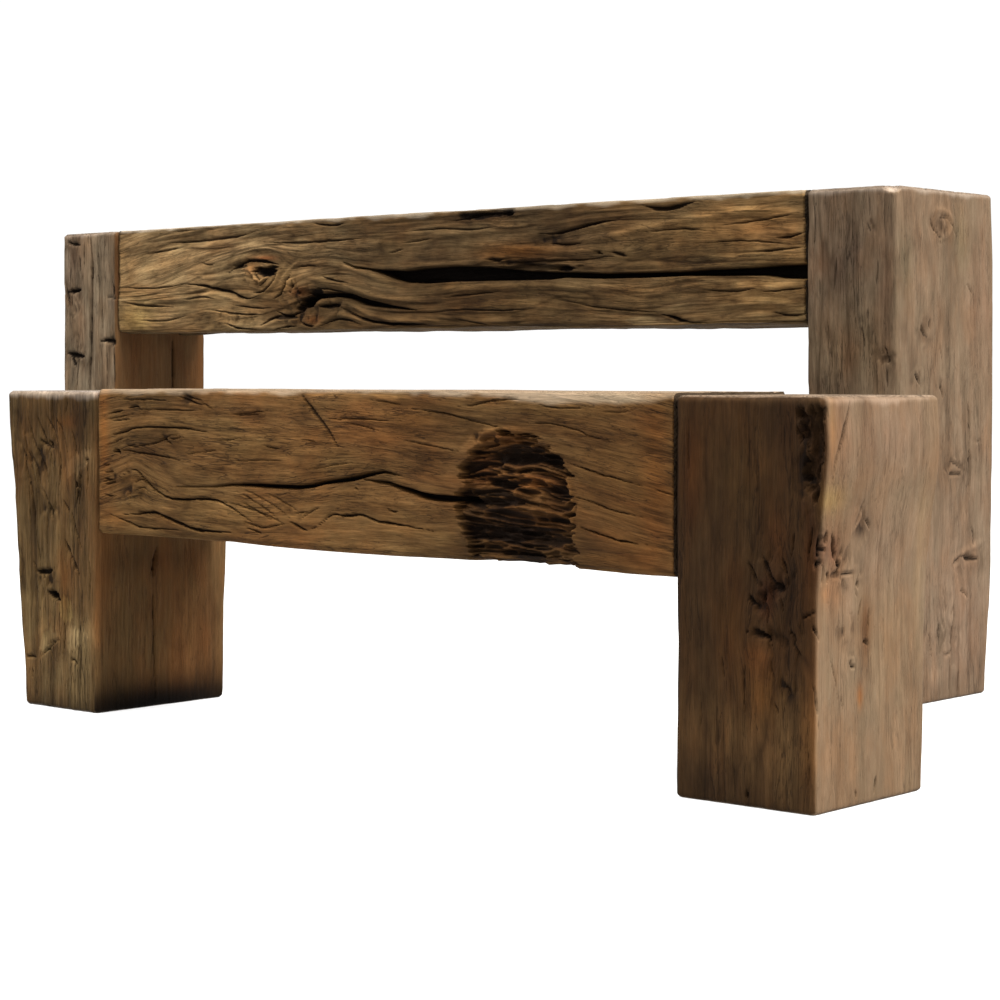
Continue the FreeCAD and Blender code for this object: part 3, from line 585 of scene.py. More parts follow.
def weathered_wood(name, wood, warm, worn, contrast=1.0, checking=0.6, mottled=0.2):
    """Old wood of a middle colour, with warm patches and pale places, which stand for worn or sound wood and
    for painted light on tops and rounded edges. Its colour runs from dark to light over noises drawn out
    along the grain, from hand-wide bands to single fibres, with hairline checks where a noise crosses its
    middle. Cracks blacken it, dirt browns it, and on a sawn end the growth rings show round the pith. Fibres
    and checks also raise and cut its surface."""
    material = bpy.data.materials.new(name)
    material.use_nodes = True
    tree = material.node_tree
    wood, warm, worn = np.array(wood), np.array(warm), np.array(worn)

    def node(kind, inputs=(), **settings):
        return new_node(tree, kind, inputs, **settings)

    def sums(operation, first, second=0.0, third=0.0):
        return node("Math", {0: first, 1: second, 2: third}, operation=operation).outputs[0]

    def blend(share, first, second, how="MIX"):
        mix = node("Mix", {"Factor": share, 6: first, 7: second}, data_type="RGBA", blend_type=how)
        return mix.outputs[2]

    def between(value, low, high, start=0.0, end=1.0):
        return node("MapRange", {"Value": value, "From Min": low, "From Max": high, "To Min": start,
                                 "To Max": end}).outputs[0]

    def ramp(value, *stops):
        return new_ramp(tree, value, stops)

    grain = node("Attribute", attribute_name="grain").outputs["Vector"]
    marked = node("Attribute", attribute_name="marks").outputs
    black, end_grain, pale = node("SeparateColor", {"Color": marked["Color"]}).outputs
    dirt = marked["Alpha"]
    tinted = node("Attribute", attribute_name="tint").outputs
    tint, rough = tinted["Color"], tinted["Alpha"]

    def drawn(along, across, detail, roughness, shift):
        """A noise with so many patches to a metre along the grain and across it."""
        place = node("Mapping", {"Vector": grain, "Location": (shift, shift, shift),
                                 "Scale": (along, across, across)}).outputs["Vector"]
        return node("TexNoise", {"Vector": place, "Scale": 1.0, "Detail": detail,
                                 "Roughness": roughness}).outputs["Fac"]
    bands = drawn(along=2.6, across=36.0, detail=6.0, roughness=0.62, shift=0.0)
    streaks = drawn(along=10.0, across=200.0, detail=4.0, roughness=0.68, shift=3.1)
    fibres = drawn(along=45.0, across=950.0, detail=3.0, roughness=0.7, shift=7.7)
    patches = drawn(along=4.0, across=11.0, detail=4.0, roughness=0.58, shift=11.3)
    checked = drawn(along=6.0, across=26.0, detail=3.0, roughness=0.55, shift=23.3)
    blotches = drawn(along=20.0, across=46.0, detail=5.0, roughness=0.62, shift=41.3)
    hues = drawn(along=13.0, across=34.0, detail=3.0, roughness=0.6, shift=57.9)

    def checks(line, widest):
        """Thin lines where a noise crosses its middle, widest where the timber is most checked."""
        width = between(checked, 0.44, 0.68, 0.0, widest)
        inside = sums("SUBTRACT", width, sums("ABSOLUTE", sums("SUBTRACT", line, 0.5)))
        return sums("MULTIPLY", between(inside, 0.0, 0.006), sums("MULTIPLY", rough, checking))
    long_checks = checks(drawn(along=6.0, across=110.0, detail=3.0, roughness=0.5, shift=17.9), 0.02)
    short_checks = checks(drawn(along=24.0, across=300.0, detail=2.0, roughness=0.5, shift=29.1), 0.03)

    tone = sums("MULTIPLY_ADD", streaks, 0.38 - mottled / 2, sums("MULTIPLY", bands, 0.4 - mottled / 2))
    tone = sums("MULTIPLY_ADD", fibres, 0.22, sums("MULTIPLY_ADD", blotches, mottled, tone))
    tone = sums("MULTIPLY_ADD", sums("SUBTRACT", tone, 0.5), sums("MULTIPLY", rough, contrast), 0.5)
    colour = ramp(tone, (0.38, wood * (0.36, 0.32, 0.28)), (0.5, wood), (0.62, wood * (1.75, 1.8, 1.9)))
    warm_tone = ramp(tone, (0.38, warm * 0.4), (0.5, warm), (0.62, warm * 1.7))
    colour = blend(between(patches, 0.46, 0.64, 0.0, 0.75), colour, warm_tone)
    hue = ramp(hues, (0.36, (1.05, 0.99, 0.94)), (0.5, (1.0, 1.0, 1.0)), (0.64, (0.97, 1.01, 1.02)))
    colour = blend(1.0, colour, hue, "MULTIPLY")
    deep = tuple(wood * (0.09, 0.07, 0.055)) + (1.0,)
    colour = blend(long_checks, colour, deep)
    colour = blend(sums("MULTIPLY", short_checks, 0.75), colour, deep)

    # growth rings on the sawn ends: sines of the distance from the pith, shaken by a noise, cut by
    # drying checks that run outward, where a noise over the direction from the pith crosses its middle
    def vector(operation, first, second=(0.0, 0.0, 0.0), third=(0.0, 0.0, 0.0)):
        return node("VectorMath", {0: first, 1: second, 2: third}, operation=operation).outputs
    across = vector("MULTIPLY", grain, (0.0, 1.0, 1.0))["Vector"]
    radius = vector("LENGTH", across)["Value"]
    shake = node("TexNoise", {"Vector": across, "Scale": 14.0, "Detail": 3.0}).outputs["Fac"]
    shaken = sums("MULTIPLY_ADD", shake, 0.03, radius)
    fine_rings, broad_rings = (sums("SINE", sums("MULTIPLY", shaken, turns)) for turns in (1150.0, 330.0))
    rings = sums("MULTIPLY_ADD", fine_rings, 0.6, sums("MULTIPLY", broad_rings, 0.4))
    wide = node("TexNoise", {"Vector": across, "Scale": 26.0, "Detail": 5.0, "Roughness": 0.7}).outputs["Fac"]
    end_tone = sums("MULTIPLY_ADD", rings, 0.1, sums("MULTIPLY_ADD", wide, 0.7, 0.15))
    end_colour = ramp(end_tone, (0.36, wood * 0.45), (0.5, (wood + worn) * 0.45), (0.66, worn))
    outward = vector("NORMALIZE", across)["Vector"]
    spread = vector("MULTIPLY", across, (5.0, 5.0, 5.0))["Vector"]
    outward = vector("MULTIPLY_ADD", outward, (3.4, 3.4, 3.4), spread)["Vector"]
    ray = node("TexNoise", {"Vector": outward, "Scale": 1.6, "Detail": 4.0, "Roughness": 0.6}).outputs["Fac"]
    split = between(sums("ABSOLUTE", sums("SUBTRACT", ray, 0.5)), 0.004, 0.012, 1.0, 0.0)
    split = sums("MULTIPLY", split, between(wide, 0.42, 0.55))
    end_colour = blend(split, end_colour, tuple(wood * 0.12) + (1.0,))
    colour = blend(end_grain, colour, end_colour)

    # pale places (worn wood, and painted top light) and dirty places over the wood, and black in the cracks
    # and hollows
    light_tone = ramp(tone, (0.36, (0.5, 0.48, 0.45)), (0.6, (1.2, 1.2, 1.2)))
    light_wood = blend(1.0, (*worn, 1.0), light_tone, "MULTIPLY")
    colour = blend(sums("MULTIPLY", pale, 0.85), colour, light_wood)
    colour = blend(1.0, colour, tint, "MULTIPLY")
    dirty = blend(1.0, colour, (0.3, 0.26, 0.22, 1.0), "MULTIPLY")
    colour = blend(sums("MULTIPLY", dirt, between(streaks, 0.35, 0.65, 0.55, 1.3)), colour, dirty)
    ragged = sums("MULTIPLY_ADD", sums("SUBTRACT", streaks, 0.5), 0.4, black)
    sharp_black = sums("MULTIPLY", between(ragged, 0.25, 0.6), between(black, 0.4, 0.95, 0.6, 1.0))
    colour = blend(sharp_black, colour, (0.003, 0.0015, 0.0008, 1.0))

    # the height of fibres, streaks, bands and rings over the mesh, less the checks
    height = sums("MULTIPLY_ADD", streaks, 1.1, sums("MULTIPLY", bands, 0.9))
    height = sums("MULTIPLY_ADD", fibres, 0.4, height)
    cut = sums("MULTIPLY_ADD", short_checks, 0.35, sums("MULTIPLY", long_checks, 0.7))
    height = sums("SUBTRACT", height, cut)
    height = sums("MULTIPLY_ADD", sums("MULTIPLY", rings, end_grain), 0.12, height)
    bump = node("Bump", {"Height": height, "Strength": 0.9, "Distance": 0.0022 * contrast})
    set_inputs(tree.nodes["Principled BSDF"], {
        "Base Color": colour, "Roughness": between(streaks, 0.3, 0.7, 0.9, 0.7),
        "Specular IOR Level": 0.05, "Normal": bump.outputs["Normal"]})
    return material


LOW_LEFT_WIDTH, LOW_LEFT_DEPTH = 0.210, 0.254
LOW_LEFT_LEAN, LOW_LEFT_BACK_LEAN = 0.043, 0.008
LOW_LEFT_SHARES = (
    (0, 1, 1), (0.14, 0.95, 0.8), (0.27, 0.74, 0.6), (0.42, 0.58, 0.3), (0.6, 0.46, 0), (0.75, 0.29, 0.1),
    (0.88, 0.06, 0.2), (1, 0, 0.1),
)


def softened(share, at, values):
    """A value read off straight runs, with the bends rounded: the mean of seven readings up to 0.06 to
    either side of the share."""
    return sum(np.interp(share + shift, at, values) for shift in np.linspace(-0.06, 0.06, 7)) / 7


def post_limits(inner, outward, width, depth, lean, back_lean, shares, height):
    """The post's limits in a and b at heights c: the outer side and the back draw in by their leans
    times shares that run from one height to the next."""
    at, outer_share, back_share = np.array(shares).T

    def limits(c):
        outer = inner + outward * (width - lean * softened(c / height, at, outer_share))
        back = depth - back_lean * softened(c / height, at, back_share)
        inner_side = inner + 0 * c
        return np.minimum(inner_side, outer), np.maximum(inner_side, outer), 0 * c, back
    return limits


def post_surface(corner, height, limits, step, spacing):
    """A post's worked surface, with its top edge worn round and its foot eased."""
    points, ways, shrink, body = timber_skin(
        height, step, limits, POST_ARRIS, spacing, FOOT_EASE, TOP_EASE, caps=(5, 16))
    return Surface(points + corner, ways, shrink, body, 2)


def peg_rings(surface, side):
    """Dark rings round the heads of a post's pegs, where wet has stained the bore: e to the minus the
    distance over 5 mm beyond each peg's own radius, gone at 22 mm, on the back."""
    x, y, z = (surface.points[..., axis] for axis in range(3))
    back = facing(surface.ways, BACK)
    for level in ("upper", "lower"):
        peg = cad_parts[side + "_" + level + "_peg"]
        corners = np.array([peg.matrix_world @ vertex.co for vertex in peg.data.vertices])
        low, high = corners.min(0), corners.max(0)
        away = np.hypot(x - (low[0] + high[0]) / 2, z - (low[2] + high[2]) / 2) - (high[2] - low[2]) / 2
        ring = back * np.exp(-np.clip(away, 0, None) / 0.005) * ease((0.022 - away) / 0.01)
        surface.dirt = np.maximum(surface.dirt, ring * 0.9)
        surface.depth += MM * 0.8 * ring


def worn_top_and_painted_light(surface, height, seed, rim=0.2, band=0.010):
    """The top of a post: radial drying checks and saw marks, and a pale edge, a band high, that reaches over
    onto the top by the share rim. The pale edge is worn wood and painted light from above on the rounded
    arris."""
    x, y, z = (surface.points[..., axis] for axis in range(3))
    top = facing(surface.ways, UP, 0.3, 0.9)
    middle_x, middle_y = x[-1].mean(), y[-1].mean()
    pith_x, pith_y = middle_x - 0.018, middle_y + 0.012
    turn = np.arctan2(y - pith_y, x - pith_x)
    away = np.hypot(x - middle_x, y - middle_y)
    ray = noise(2.6 * np.cos(turn) + 9, 2.6 * np.sin(turn) + 9, 0 * turn + away / 0.3, seed)
    ray = np.exp(-(ray / (0.02 + 0.05 * ease(0.03 / (away + 0.01)))) ** 2) * ease((away - 0.012) / 0.03)
    sawn = speckle(x, y, 0.004, 0.004, seed + 1)
    fade = ease((0.12 - away) / 0.03)
    surface.depth += top * MM * (2.2 * ray * fade + 0.35 * (0.5 + 0.5 * sawn))
    surface.dark = np.maximum(surface.dark, top * ray * 0.7 * fade)
    edge = 0.004 * speckle(x, y, 0.03, 0.03, seed + 2) + 0.002 * speckle(x, y, 0.008, 0.008, seed + 3)
    outer = rim * ease((surface.shrink[:, None] - 0.93 + 12 * edge) / 0.06)
    # the pale band: worn wood, and painted top light on the rounded arris
    worn = (1 - top * (1 - outer)) * ease((z - height + band + edge) / 0.008)
    surface.pale = np.maximum(surface.pale, worn * 0.85)


# A face that marks are laid on is its axis, its place on the axis and the way it looks. The marks' rows are
# given in pixels of the photograph, and each method of Surface says what its rows hold.
LOW_FRONT_FACE = (1, LOW_CORNER[1], FRONT)
LOW_INNER_FACE = (0, LOW_CORNER[0] + LOW_LEFT_WIDTH, RIGHT)
low_left_limits = post_limits(
    inner=LOW_LEFT_WIDTH, outward=-1, width=LOW_LEFT_WIDTH, depth=LOW_LEFT_DEPTH, lean=LOW_LEFT_LEAN,
    back_lean=LOW_LEFT_BACK_LEAN, shares=LOW_LEFT_SHARES, height=LOW_POST_HEIGHT)
low_left = post_surface(
    LOW_CORNER, LOW_POST_HEIGHT, low_left_limits, step=0.0026, spacing=(0.0016, 0.0022, 0.0032, 0.0026))
low_left.wander(amount=5.0, seed=5)
low_left.weather(hewn=1.8, groove=2.6, fibre=0.5, layer=2.0, seed=11, calm=((RIGHT, 0.45),))
low_left.worn_arris(amount=3.0, seed=17)
low_left.paint(RIGHT, colour=(1.05, 0.94, 0.89))
LOW_LEFT_FRONT_CRACKS = (
    (3, 4, ((22, 450), (26, 468), (31, 492), (33, 515), (35, 535))),
    (3, 4, ((38, 438), (44, 444), (53, 448))), (3, 4, ((40, 458), (44, 468), (47, 482))),
    (2.5, 3, ((31, 455), (36, 470), (39, 485))), (2.5, 4, ((62, 500), (65, 507), (68, 514))),
    (4, 5, ((48, 503), (50, 508), (51, 520))), (2.5, 3, ((59, 448), (59, 470), (58, 485))),
    (2.5, 3, ((80, 470), (79, 485), (78, 505))), (2, 4, ((62, 540), (66, 551), (72, 565), (78, 577))),
    (5, 8, ((33, 571), (40, 572), (45, 572), (53, 569))), (2, 4, ((41, 575), (44, 578))),
    (8, 12, ((46, 592), (52, 595), (59, 600))), (2, 3, ((30, 560), (33, 566), (34, 574))),
    (3, 5, ((24, 657), (29, 656), (34, 657))), (2, 4, ((41, 653), (46, 648), (49, 651), (53, 659))),
    (2.5, 4, ((68, 658), (73, 660), (77, 665))), (1.5, 2, ((43, 645), (52, 641), (60, 639))),
    (3, 5, ((62, 538), (68, 553), (74, 566), (79, 577))), (2, 3, ((37, 658), (48, 647), (59, 638))),
    (3.5, 6, ((23, 450), (25, 457), (25, 463))), (3, 5, ((48, 440), (51, 444), (53, 449))),
    (3, 5, ((84, 458), (85, 463))), (2.4, 4, ((79, 473), (77, 486), (75, 505))),
    (4, 6, ((75, 482), (75, 488))), (2, 3, ((86, 455), (87, 470), (86, 490))),
    (2.5, 3, ((62, 615), (63, 640), (61, 660))), (2, 3, ((28, 480), (28, 505), (30, 530))),
    (2, 3, ((46, 508), (45, 530), (46, 552))), (1.5, 2, ((88, 560), (89, 575), (88, 600))),
    (2, 3, ((31, 668), (31, 678))), (2, 2, ((52, 395), (51, 410), (53, 430))),
    (2, 2, ((66, 397), (64, 415))), (2, 3, ((95, 498), (97, 515), (97, 530))),
    (2.4, 4, ((27, 416), (31, 434), (38, 455), (42, 476))),
    (2.4, 4, ((34, 410), (41, 430), (49, 451), (53, 474))),
    (2.2, 4, ((23, 430), (26, 450), (32, 471), (36, 493))), (2.2, 3, ((45, 413), (52, 429), (58, 447))),
    (2.2, 3, ((55, 418), (62, 434), (66, 452))), (2, 3, ((70, 430), (74, 445), (75, 460))),
    (2.2, 4, ((42, 490), (47, 503), (49, 518))), (2.4, 4, ((70, 512), (74, 530), (80, 548))),
    (2, 3, ((36, 540), (38, 556), (39, 566))),
)
low_left.cracks(LOW_FRONT_FACE, LOW_LEFT_FRONT_CRACKS)
# the row at the foot, (60, 708), is painted shade, darker towards the floor
LOW_LEFT_FRONT_STAINS_AND_SHADE = (
    (40, 412, 40, 30, (0.55, 0.53, 0.48)), (80, 420, 22, 40, (0.62, 0.6, 0.58)),
    (80, 455, 13, 9, (1.5, 1.45, 1.42)), (66, 472, 12, 14, (1.2, 1.17, 1.15)),
    (65, 422, 9, 7, (1.3, 1.05, 0.85)), (72, 634, 22, 14, (1.6, 1.65, 1.7)),
    (42, 635, 18, 16, (1.35, 1.35, 1.35)), (62, 575, 5, 34, (1.35, 1.05, 0.8)),
    (25, 470, 12, 60, (0.75, 0.68, 0.6)), (90, 520, 12, 40, (0.72, 0.72, 0.72)),
    (60, 660, 45, 50, (1.45, 1.5, 1.58)), (60, 708, 70, 12, (0.5, 0.5, 0.52)),
    (55, 391, 70, 6, (1.8, 1.75, 1.7)), (35, 605, 14, 24, (1.25, 1.3, 1.3)),
)
low_left.stains_and_painted_light(LOW_FRONT_FACE, LOW_LEFT_FRONT_STAINS_AND_SHADE)
LOW_LEFT_FRONT_SCRAPES = (
    (((62, 470), (67, 455), (82, 447), (91, 450), (89, 462), (75, 474), (64, 478)), (1.3, 1.4, 1.6)),
    (((64, 646), (61, 631), (67, 624), (77, 625), (84, 630), (88, 639), (79, 646), (70, 653)),
      (1.35, 1.4, 1.5)),
    (((36, 650), (40, 634), (48, 626), (56, 634), (54, 646), (45, 654)), (1.25, 1.38, 1.5)),
    (((57, 600), (63, 594), (70, 603), (72, 618), (64, 626), (58, 614)), (1.45, 1.6, 1.5)),
)
low_left.scrapes(LOW_FRONT_FACE, LOW_LEFT_FRONT_SCRAPES, seed=21)
LOW_LEFT_FRONT_GNARLS = ((35, 452, 18, 30, 3), (48, 510, 12, 12, 3), (45, 585, 14, 22, 3))
low_left.gnarls(LOW_FRONT_FACE, LOW_LEFT_FRONT_GNARLS, seed=19)
LOW_LEFT_INNER_CRACKS = (
    (3, 14, ((158, 545), (155, 560), (153, 580))), (2, 6, ((153, 580), (155, 640), (156, 698))),
)
low_left.cracks(LOW_INNER_FACE, LOW_LEFT_INNER_CRACKS)
# the first two rows are a painted contact shadow at the foot, nearly black
LOW_LEFT_INNER_STAINS_AND_SHADOW = (
    (160, 706, 110, 28, (0.12, 0.12, 0.13)), (160, 702, 120, 18, (0.12, 0.12, 0.13)),
    (205, 620, 20, 80, (0.8, 0.77, 0.75)), (150, 650, 90, 30, (1.1, 1.1, 1.1)),
    (215, 640, 8, 80, (0.7, 0.7, 0.72)), (112, 560, 8, 30, (0.8, 0.78, 0.75)),
    (150, 560, 60, 14, (0.75, 0.72, 0.7)),
)
low_left.stains_and_painted_light(LOW_INNER_FACE, LOW_LEFT_INNER_STAINS_AND_SHADOW)
low_left.splits(BACK, half_wide=2.4, depth=6, seed=301)
low_left.splits(LEFT, half_wide=2.2, depth=7, seed=303)
peg_rings(low_left, "low_left")
worn_top_and_painted_light(low_left, LOW_POST_HEIGHT, seed=71, rim=1.0, band=0.014)
low_left.bleached_and_painted_top_light(share=0.45)
low_left_post = timber_object("low_left_post_timber", low_left, pith=(-0.17, -0.395))
low_left_post.data.materials.append(weathered_wood(
    "low left post wood", wood=(0.068, 0.041, 0.016), warm=(0.0808, 0.0391, 0.0131),
    worn=(0.236, 0.198, 0.165), contrast=1.15, checking=0.6, mottled=0.16))
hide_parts("low_left_post")
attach(low_left_post, "root")


# Right post of the low bench
# The end block nearest to the camera, dark and knotty in front and planed and sunlit at its outer side.
# Its front outer arris has rotted into a long hollow under the top.

LOW_RIGHT_WIDTH, LOW_RIGHT_DEPTH = 0.210, 0.240
LOW_RIGHT_LEAN, LOW_RIGHT_BACK_LEAN = 0.017, 0.014
LOW_LENGTH = 1.437
LOW_RIGHT_SHARES = (
    (0, 1, 1), (0.3, 1, 0.7), (0.55, 0.96, 0.4), (0.73, 0.5, 0.1), (0.86, 0, 0), (1, 0.25, 0.1),
)
LOW_OUTER_FACE = (0, LOW_CORNER[0] + LOW_LENGTH, RIGHT)
low_right_limits = post_limits(
    inner=LOW_LENGTH - LOW_RIGHT_WIDTH, outward=1, width=LOW_RIGHT_WIDTH, depth=LOW_RIGHT_DEPTH,
    lean=LOW_RIGHT_LEAN, back_lean=LOW_RIGHT_BACK_LEAN, shares=LOW_RIGHT_SHARES, height=LOW_POST_HEIGHT)
low_right = post_surface(
    LOW_CORNER, LOW_POST_HEIGHT, low_right_limits, step=0.0026, spacing=(0.0015, 0.0016, 0.0032, 0.004))
LOW_RIGHT_FRONT_KNOTS = (
    (776, 583, 16, 26, 0.8), (758, 636, 20, 30, 0.7), (752, 604, 10, 14, 0.6), (790, 640, 10, 16, 0.7),
)
low_right.knots(LOW_FRONT_FACE, LOW_RIGHT_FRONT_KNOTS)
LOW_RIGHT_OUTER_KNOTS = (
    (826, 548, 16, 26, 0.8), (846, 555, 12, 30, 0.6), (866, 665, 8, 14, 0.6), (868, 525, 12, 18, 0.5),
)
low_right.knots(LOW_OUTER_FACE, LOW_RIGHT_OUTER_KNOTS)
low_right.wander(amount=6.0, seed=23)
low_right.weather(hewn=2.0, groove=1.8, fibre=0.4, layer=1.0, seed=29, calm=((RIGHT, 0.5), (FRONT, 0.9)))
low_right.worn_arris(amount=2.0, seed=31)
low_right.paint(FRONT, colour=(0.27, 0.2, 0.12))
# painted shade: the inner face and its arris by the seat beam's joint are painted darker
low_right.paint(LEFT, colour=(0.4, 0.33, 0.25))
LOW_RIGHT_FRONT_CRACKS = (
    (4, 7, ((762, 557), (766, 567), (769, 577), (773, 584), (782, 588))),
    (3, 5, ((780, 557), (784, 568), (787, 579))),
    (3.4, 7, ((746, 631), (753, 630), (761, 633), (767, 638), (771, 646))),
    (5, 6, ((748, 595), (751, 601), (756, 607))), (2.5, 4, ((778, 597), (781, 605), (782, 612))),
    (2.5, 4, ((745, 560), (752, 572), (757, 584))), (3, 4, ((757, 585), (753, 578), (751, 570))),
    (2.5, 4, ((763, 600), (768, 612), (766, 625))),
    (2.5, 4, ((786, 634), (791, 633), (795, 638), (793, 646))),
    (2, 3, ((793, 643), (796, 650), (800, 657))), (2.5, 4, ((782, 684), (787, 690), (790, 698))),
    (2.5, 3, ((772, 702), (775, 708), (778, 715))), (2.5, 4, ((800, 620), (805, 617), (815, 612))),
    (2, 2, ((721, 655), (722, 668), (724, 680))), (2, 2, ((762, 560), (766, 575))),
    (2, 2, ((771, 655), (770, 668), (775, 685))), (1.5, 2, ((806, 745), (808, 770), (808, 800))),
    (2, 2, ((745, 660), (742, 690), (745, 720))), (3, 4, ((812, 525), (809, 540), (808, 560))),
    (1.5, 2, ((688, 420), (687, 450), (689, 480))), (1.5, 2, ((700, 700), (700, 730))),
    (2, 3, ((793, 530), (792, 545), (790, 558))), (3, 5, ((746, 800), (746, 790))),
    (3, 4, ((764, 605), (761, 596), (765, 590))),
)
low_right.cracks(LOW_FRONT_FACE, LOW_RIGHT_FRONT_CRACKS, weight=0.95)
LOW_RIGHT_FRONT_HOLLOWS = ((759, 635, 10, 3, 5, 0.6), (777, 587, 6, 4, 5, 0.6))
low_right.hollows(LOW_FRONT_FACE, LOW_RIGHT_FRONT_HOLLOWS, seed=37)
LOW_RIGHT_FRONT_GNARLS = (
    (772, 578, 20, 24, 5), (756, 604, 12, 14, 4), (764, 636, 22, 16, 5), (792, 640, 12, 18, 4),
    (783, 690, 16, 16, 3), (806, 470, 12, 50, 3),
)
low_right.gnarls(LOW_FRONT_FACE, LOW_RIGHT_FRONT_GNARLS, seed=35)
LOW_RIGHT_OUTER_CRACKS = (
    (3, 8, ((854, 398), (850, 415), (846, 432), (842, 446), (838, 460), (836, 480))),
    (6, 12, ((841, 535), (843, 544), (845, 552), (848, 563))), (3.5, 8, ((847, 562), (852, 566))),
    (5, 9, ((821, 538), (825, 544), (830, 549), (836, 551))),
    (3.5, 7, ((823, 549), (826, 553), (832, 557))), (4.5, 8, ((834, 532), (837, 539), (835, 546))),
    (5, 7, ((821, 566), (827, 568), (833, 563))), (3, 5, ((852, 567), (849, 573), (848, 580))),
    (2.2, 4, ((849, 573), (856, 574), (864, 575), (872, 574))),
    (3, 3, ((871, 503), (868, 516), (863, 530))), (2.5, 3, ((873, 518), (878, 524), (880, 530))),
    (2.5, 5, ((838, 573), (841, 578), (839, 584))), (2.5, 5, ((869, 582), (872, 586), (870, 590))),
    (2, 4, ((813, 540), (812, 556), (816, 572))), (2.2, 3, ((833, 562), (836, 574), (833, 590))),
    (2.2, 5, ((815, 610), (820, 615), (826, 622), (830, 632), (833, 642))),
    (2.5, 5, ((868, 661), (864, 663), (865, 669), (870, 667))),
    (2, 3, ((816, 655), (822, 675), (828, 700))), (1.5, 2, ((855, 695), (857, 712))),
    (1.5, 2, ((843, 655), (846, 668), (850, 685), (852, 700))),
    (2, 3, ((875, 600), (873, 612), (872, 622))), (2.5, 4, ((883, 606), (882, 625), (880, 640))),
    (3.5, 5, ((876, 645), (880, 642), (883, 647))),
    (1.5, 2, ((820, 655), (828, 680), (831, 705), (833, 735))),
    (2, 8, ((890, 777), (889, 785), (888, 793))), (2, 4, ((869, 792), (870, 799))),
    (1.5, 2, ((872, 575), (868, 590), (872, 600))),
)
low_right.cracks(LOW_OUTER_FACE, LOW_RIGHT_OUTER_CRACKS, weight=1.1)
LOW_RIGHT_OUTER_HOLLOWS = ((828, 546, 7, 8, 6, 0.7), (827, 566, 7, 4, 4, 0.7), (847, 576, 5, 4, 3, 0.5))
low_right.hollows(LOW_OUTER_FACE, LOW_RIGHT_OUTER_HOLLOWS, seed=39)
LOW_RIGHT_OUTER_GNARLS = (
    (826, 550, 15, 22, 4), (850, 560, 14, 18, 3), (872, 524, 14, 18, 2.2), (864, 580, 16, 12, 2.2),
    (866, 665, 6, 10, 2.5), (860, 628, 10, 20, 1.2),
)
low_right.gnarls(LOW_OUTER_FACE, LOW_RIGHT_OUTER_GNARLS, seed=36, black=0.6)
LOW_RIGHT_FRONT_STAINS = (
    (757, 655, 14, 16, (1.7, 1.35, 1.1)), (720, 440, 60, 60, (1.1, 1.08, 1.02)),
    (690, 470, 10, 60, (1.25, 0.95, 0.7)), (750, 745, 90, 56, (2.15, 2.3, 2.4)),
    (762, 690, 16, 30, (1.35, 1.15, 0.85)), (778, 540, 14, 30, (1.25, 1.02, 0.85)),
    (807, 720, 8, 80, (1.5, 1.3, 1.1)), (808, 560, 6, 50, (1.25, 1, 0.8)),
    (765, 600, 8, 20, (1.2, 0.85, 0.8)), (745, 480, 30, 40, (1.02, 1.05, 0.95)),
    (780, 740, 50, 70, (1.15, 1.15, 1.15)), (705, 780, 35, 30, (0.62, 0.62, 0.66)),
    (785, 420, 26, 40, (0.8, 0.78, 0.8)), (775, 590, 26, 24, (0.75, 0.72, 0.75)),
    (730, 620, 16, 60, (1.2, 1.02, 0.75)),
)
low_right.stains_and_painted_light(LOW_FRONT_FACE, LOW_RIGHT_FRONT_STAINS)
LOW_RIGHT_OUTER_STAINS = (
    (836, 500, 14, 14, (1.3, 1.3, 0.95)), (816, 722, 8, 60, (1.14, 0.97, 0.84)),
    (874, 698, 3, 12, (1.35, 0.86, 0.5)), (828, 552, 12, 18, (0.7, 0.6, 0.62)),
    (844, 552, 7, 16, (0.8, 0.68, 0.68)), (852, 535, 12, 26, (1.1, 1, 0.92)),
    (838, 595, 5, 12, (1.2, 1.02, 0.88)), (846, 600, 16, 34, (1, 0.94, 0.9)),
    (880, 640, 4, 40, (0.72, 0.6, 0.5)), (812, 600, 4, 60, (0.8, 0.68, 0.6)),
    (840, 440, 12, 50, (1.1, 0.98, 0.9)), (905, 700, 30, 70, (1.03, 1.05, 1.08)),
    (850, 745, 26, 40, (1.05, 0.98, 0.92)), (888, 435, 60, 45, (0.9, 0.86, 0.89)),
    (890, 560, 40, 50, (1.07, 1.07, 1.15)), (878, 625, 6, 26, (0.72, 0.62, 0.52)),
    (930, 560, 4, 90, (1.18, 1.15, 1.08)), (848, 590, 7, 26, (1.08, 0.98, 0.9)),
    (835, 432, 4, 36, (1.25, 1.1, 0.88)), (900, 620, 22, 90, (1.04, 1.05, 1.03)),
    (868, 522, 16, 20, (0.85, 0.82, 0.82)),
)
low_right.stains_and_painted_light(LOW_OUTER_FACE, LOW_RIGHT_OUTER_STAINS)
low_right.splits(BACK, half_wide=2.4, depth=6, seed=305)
low_right.splits(LEFT, half_wide=2.4, depth=5, seed=307)
peg_rings(low_right, "low_right")
worn_top_and_painted_light(low_right, LOW_POST_HEIGHT, seed=73)


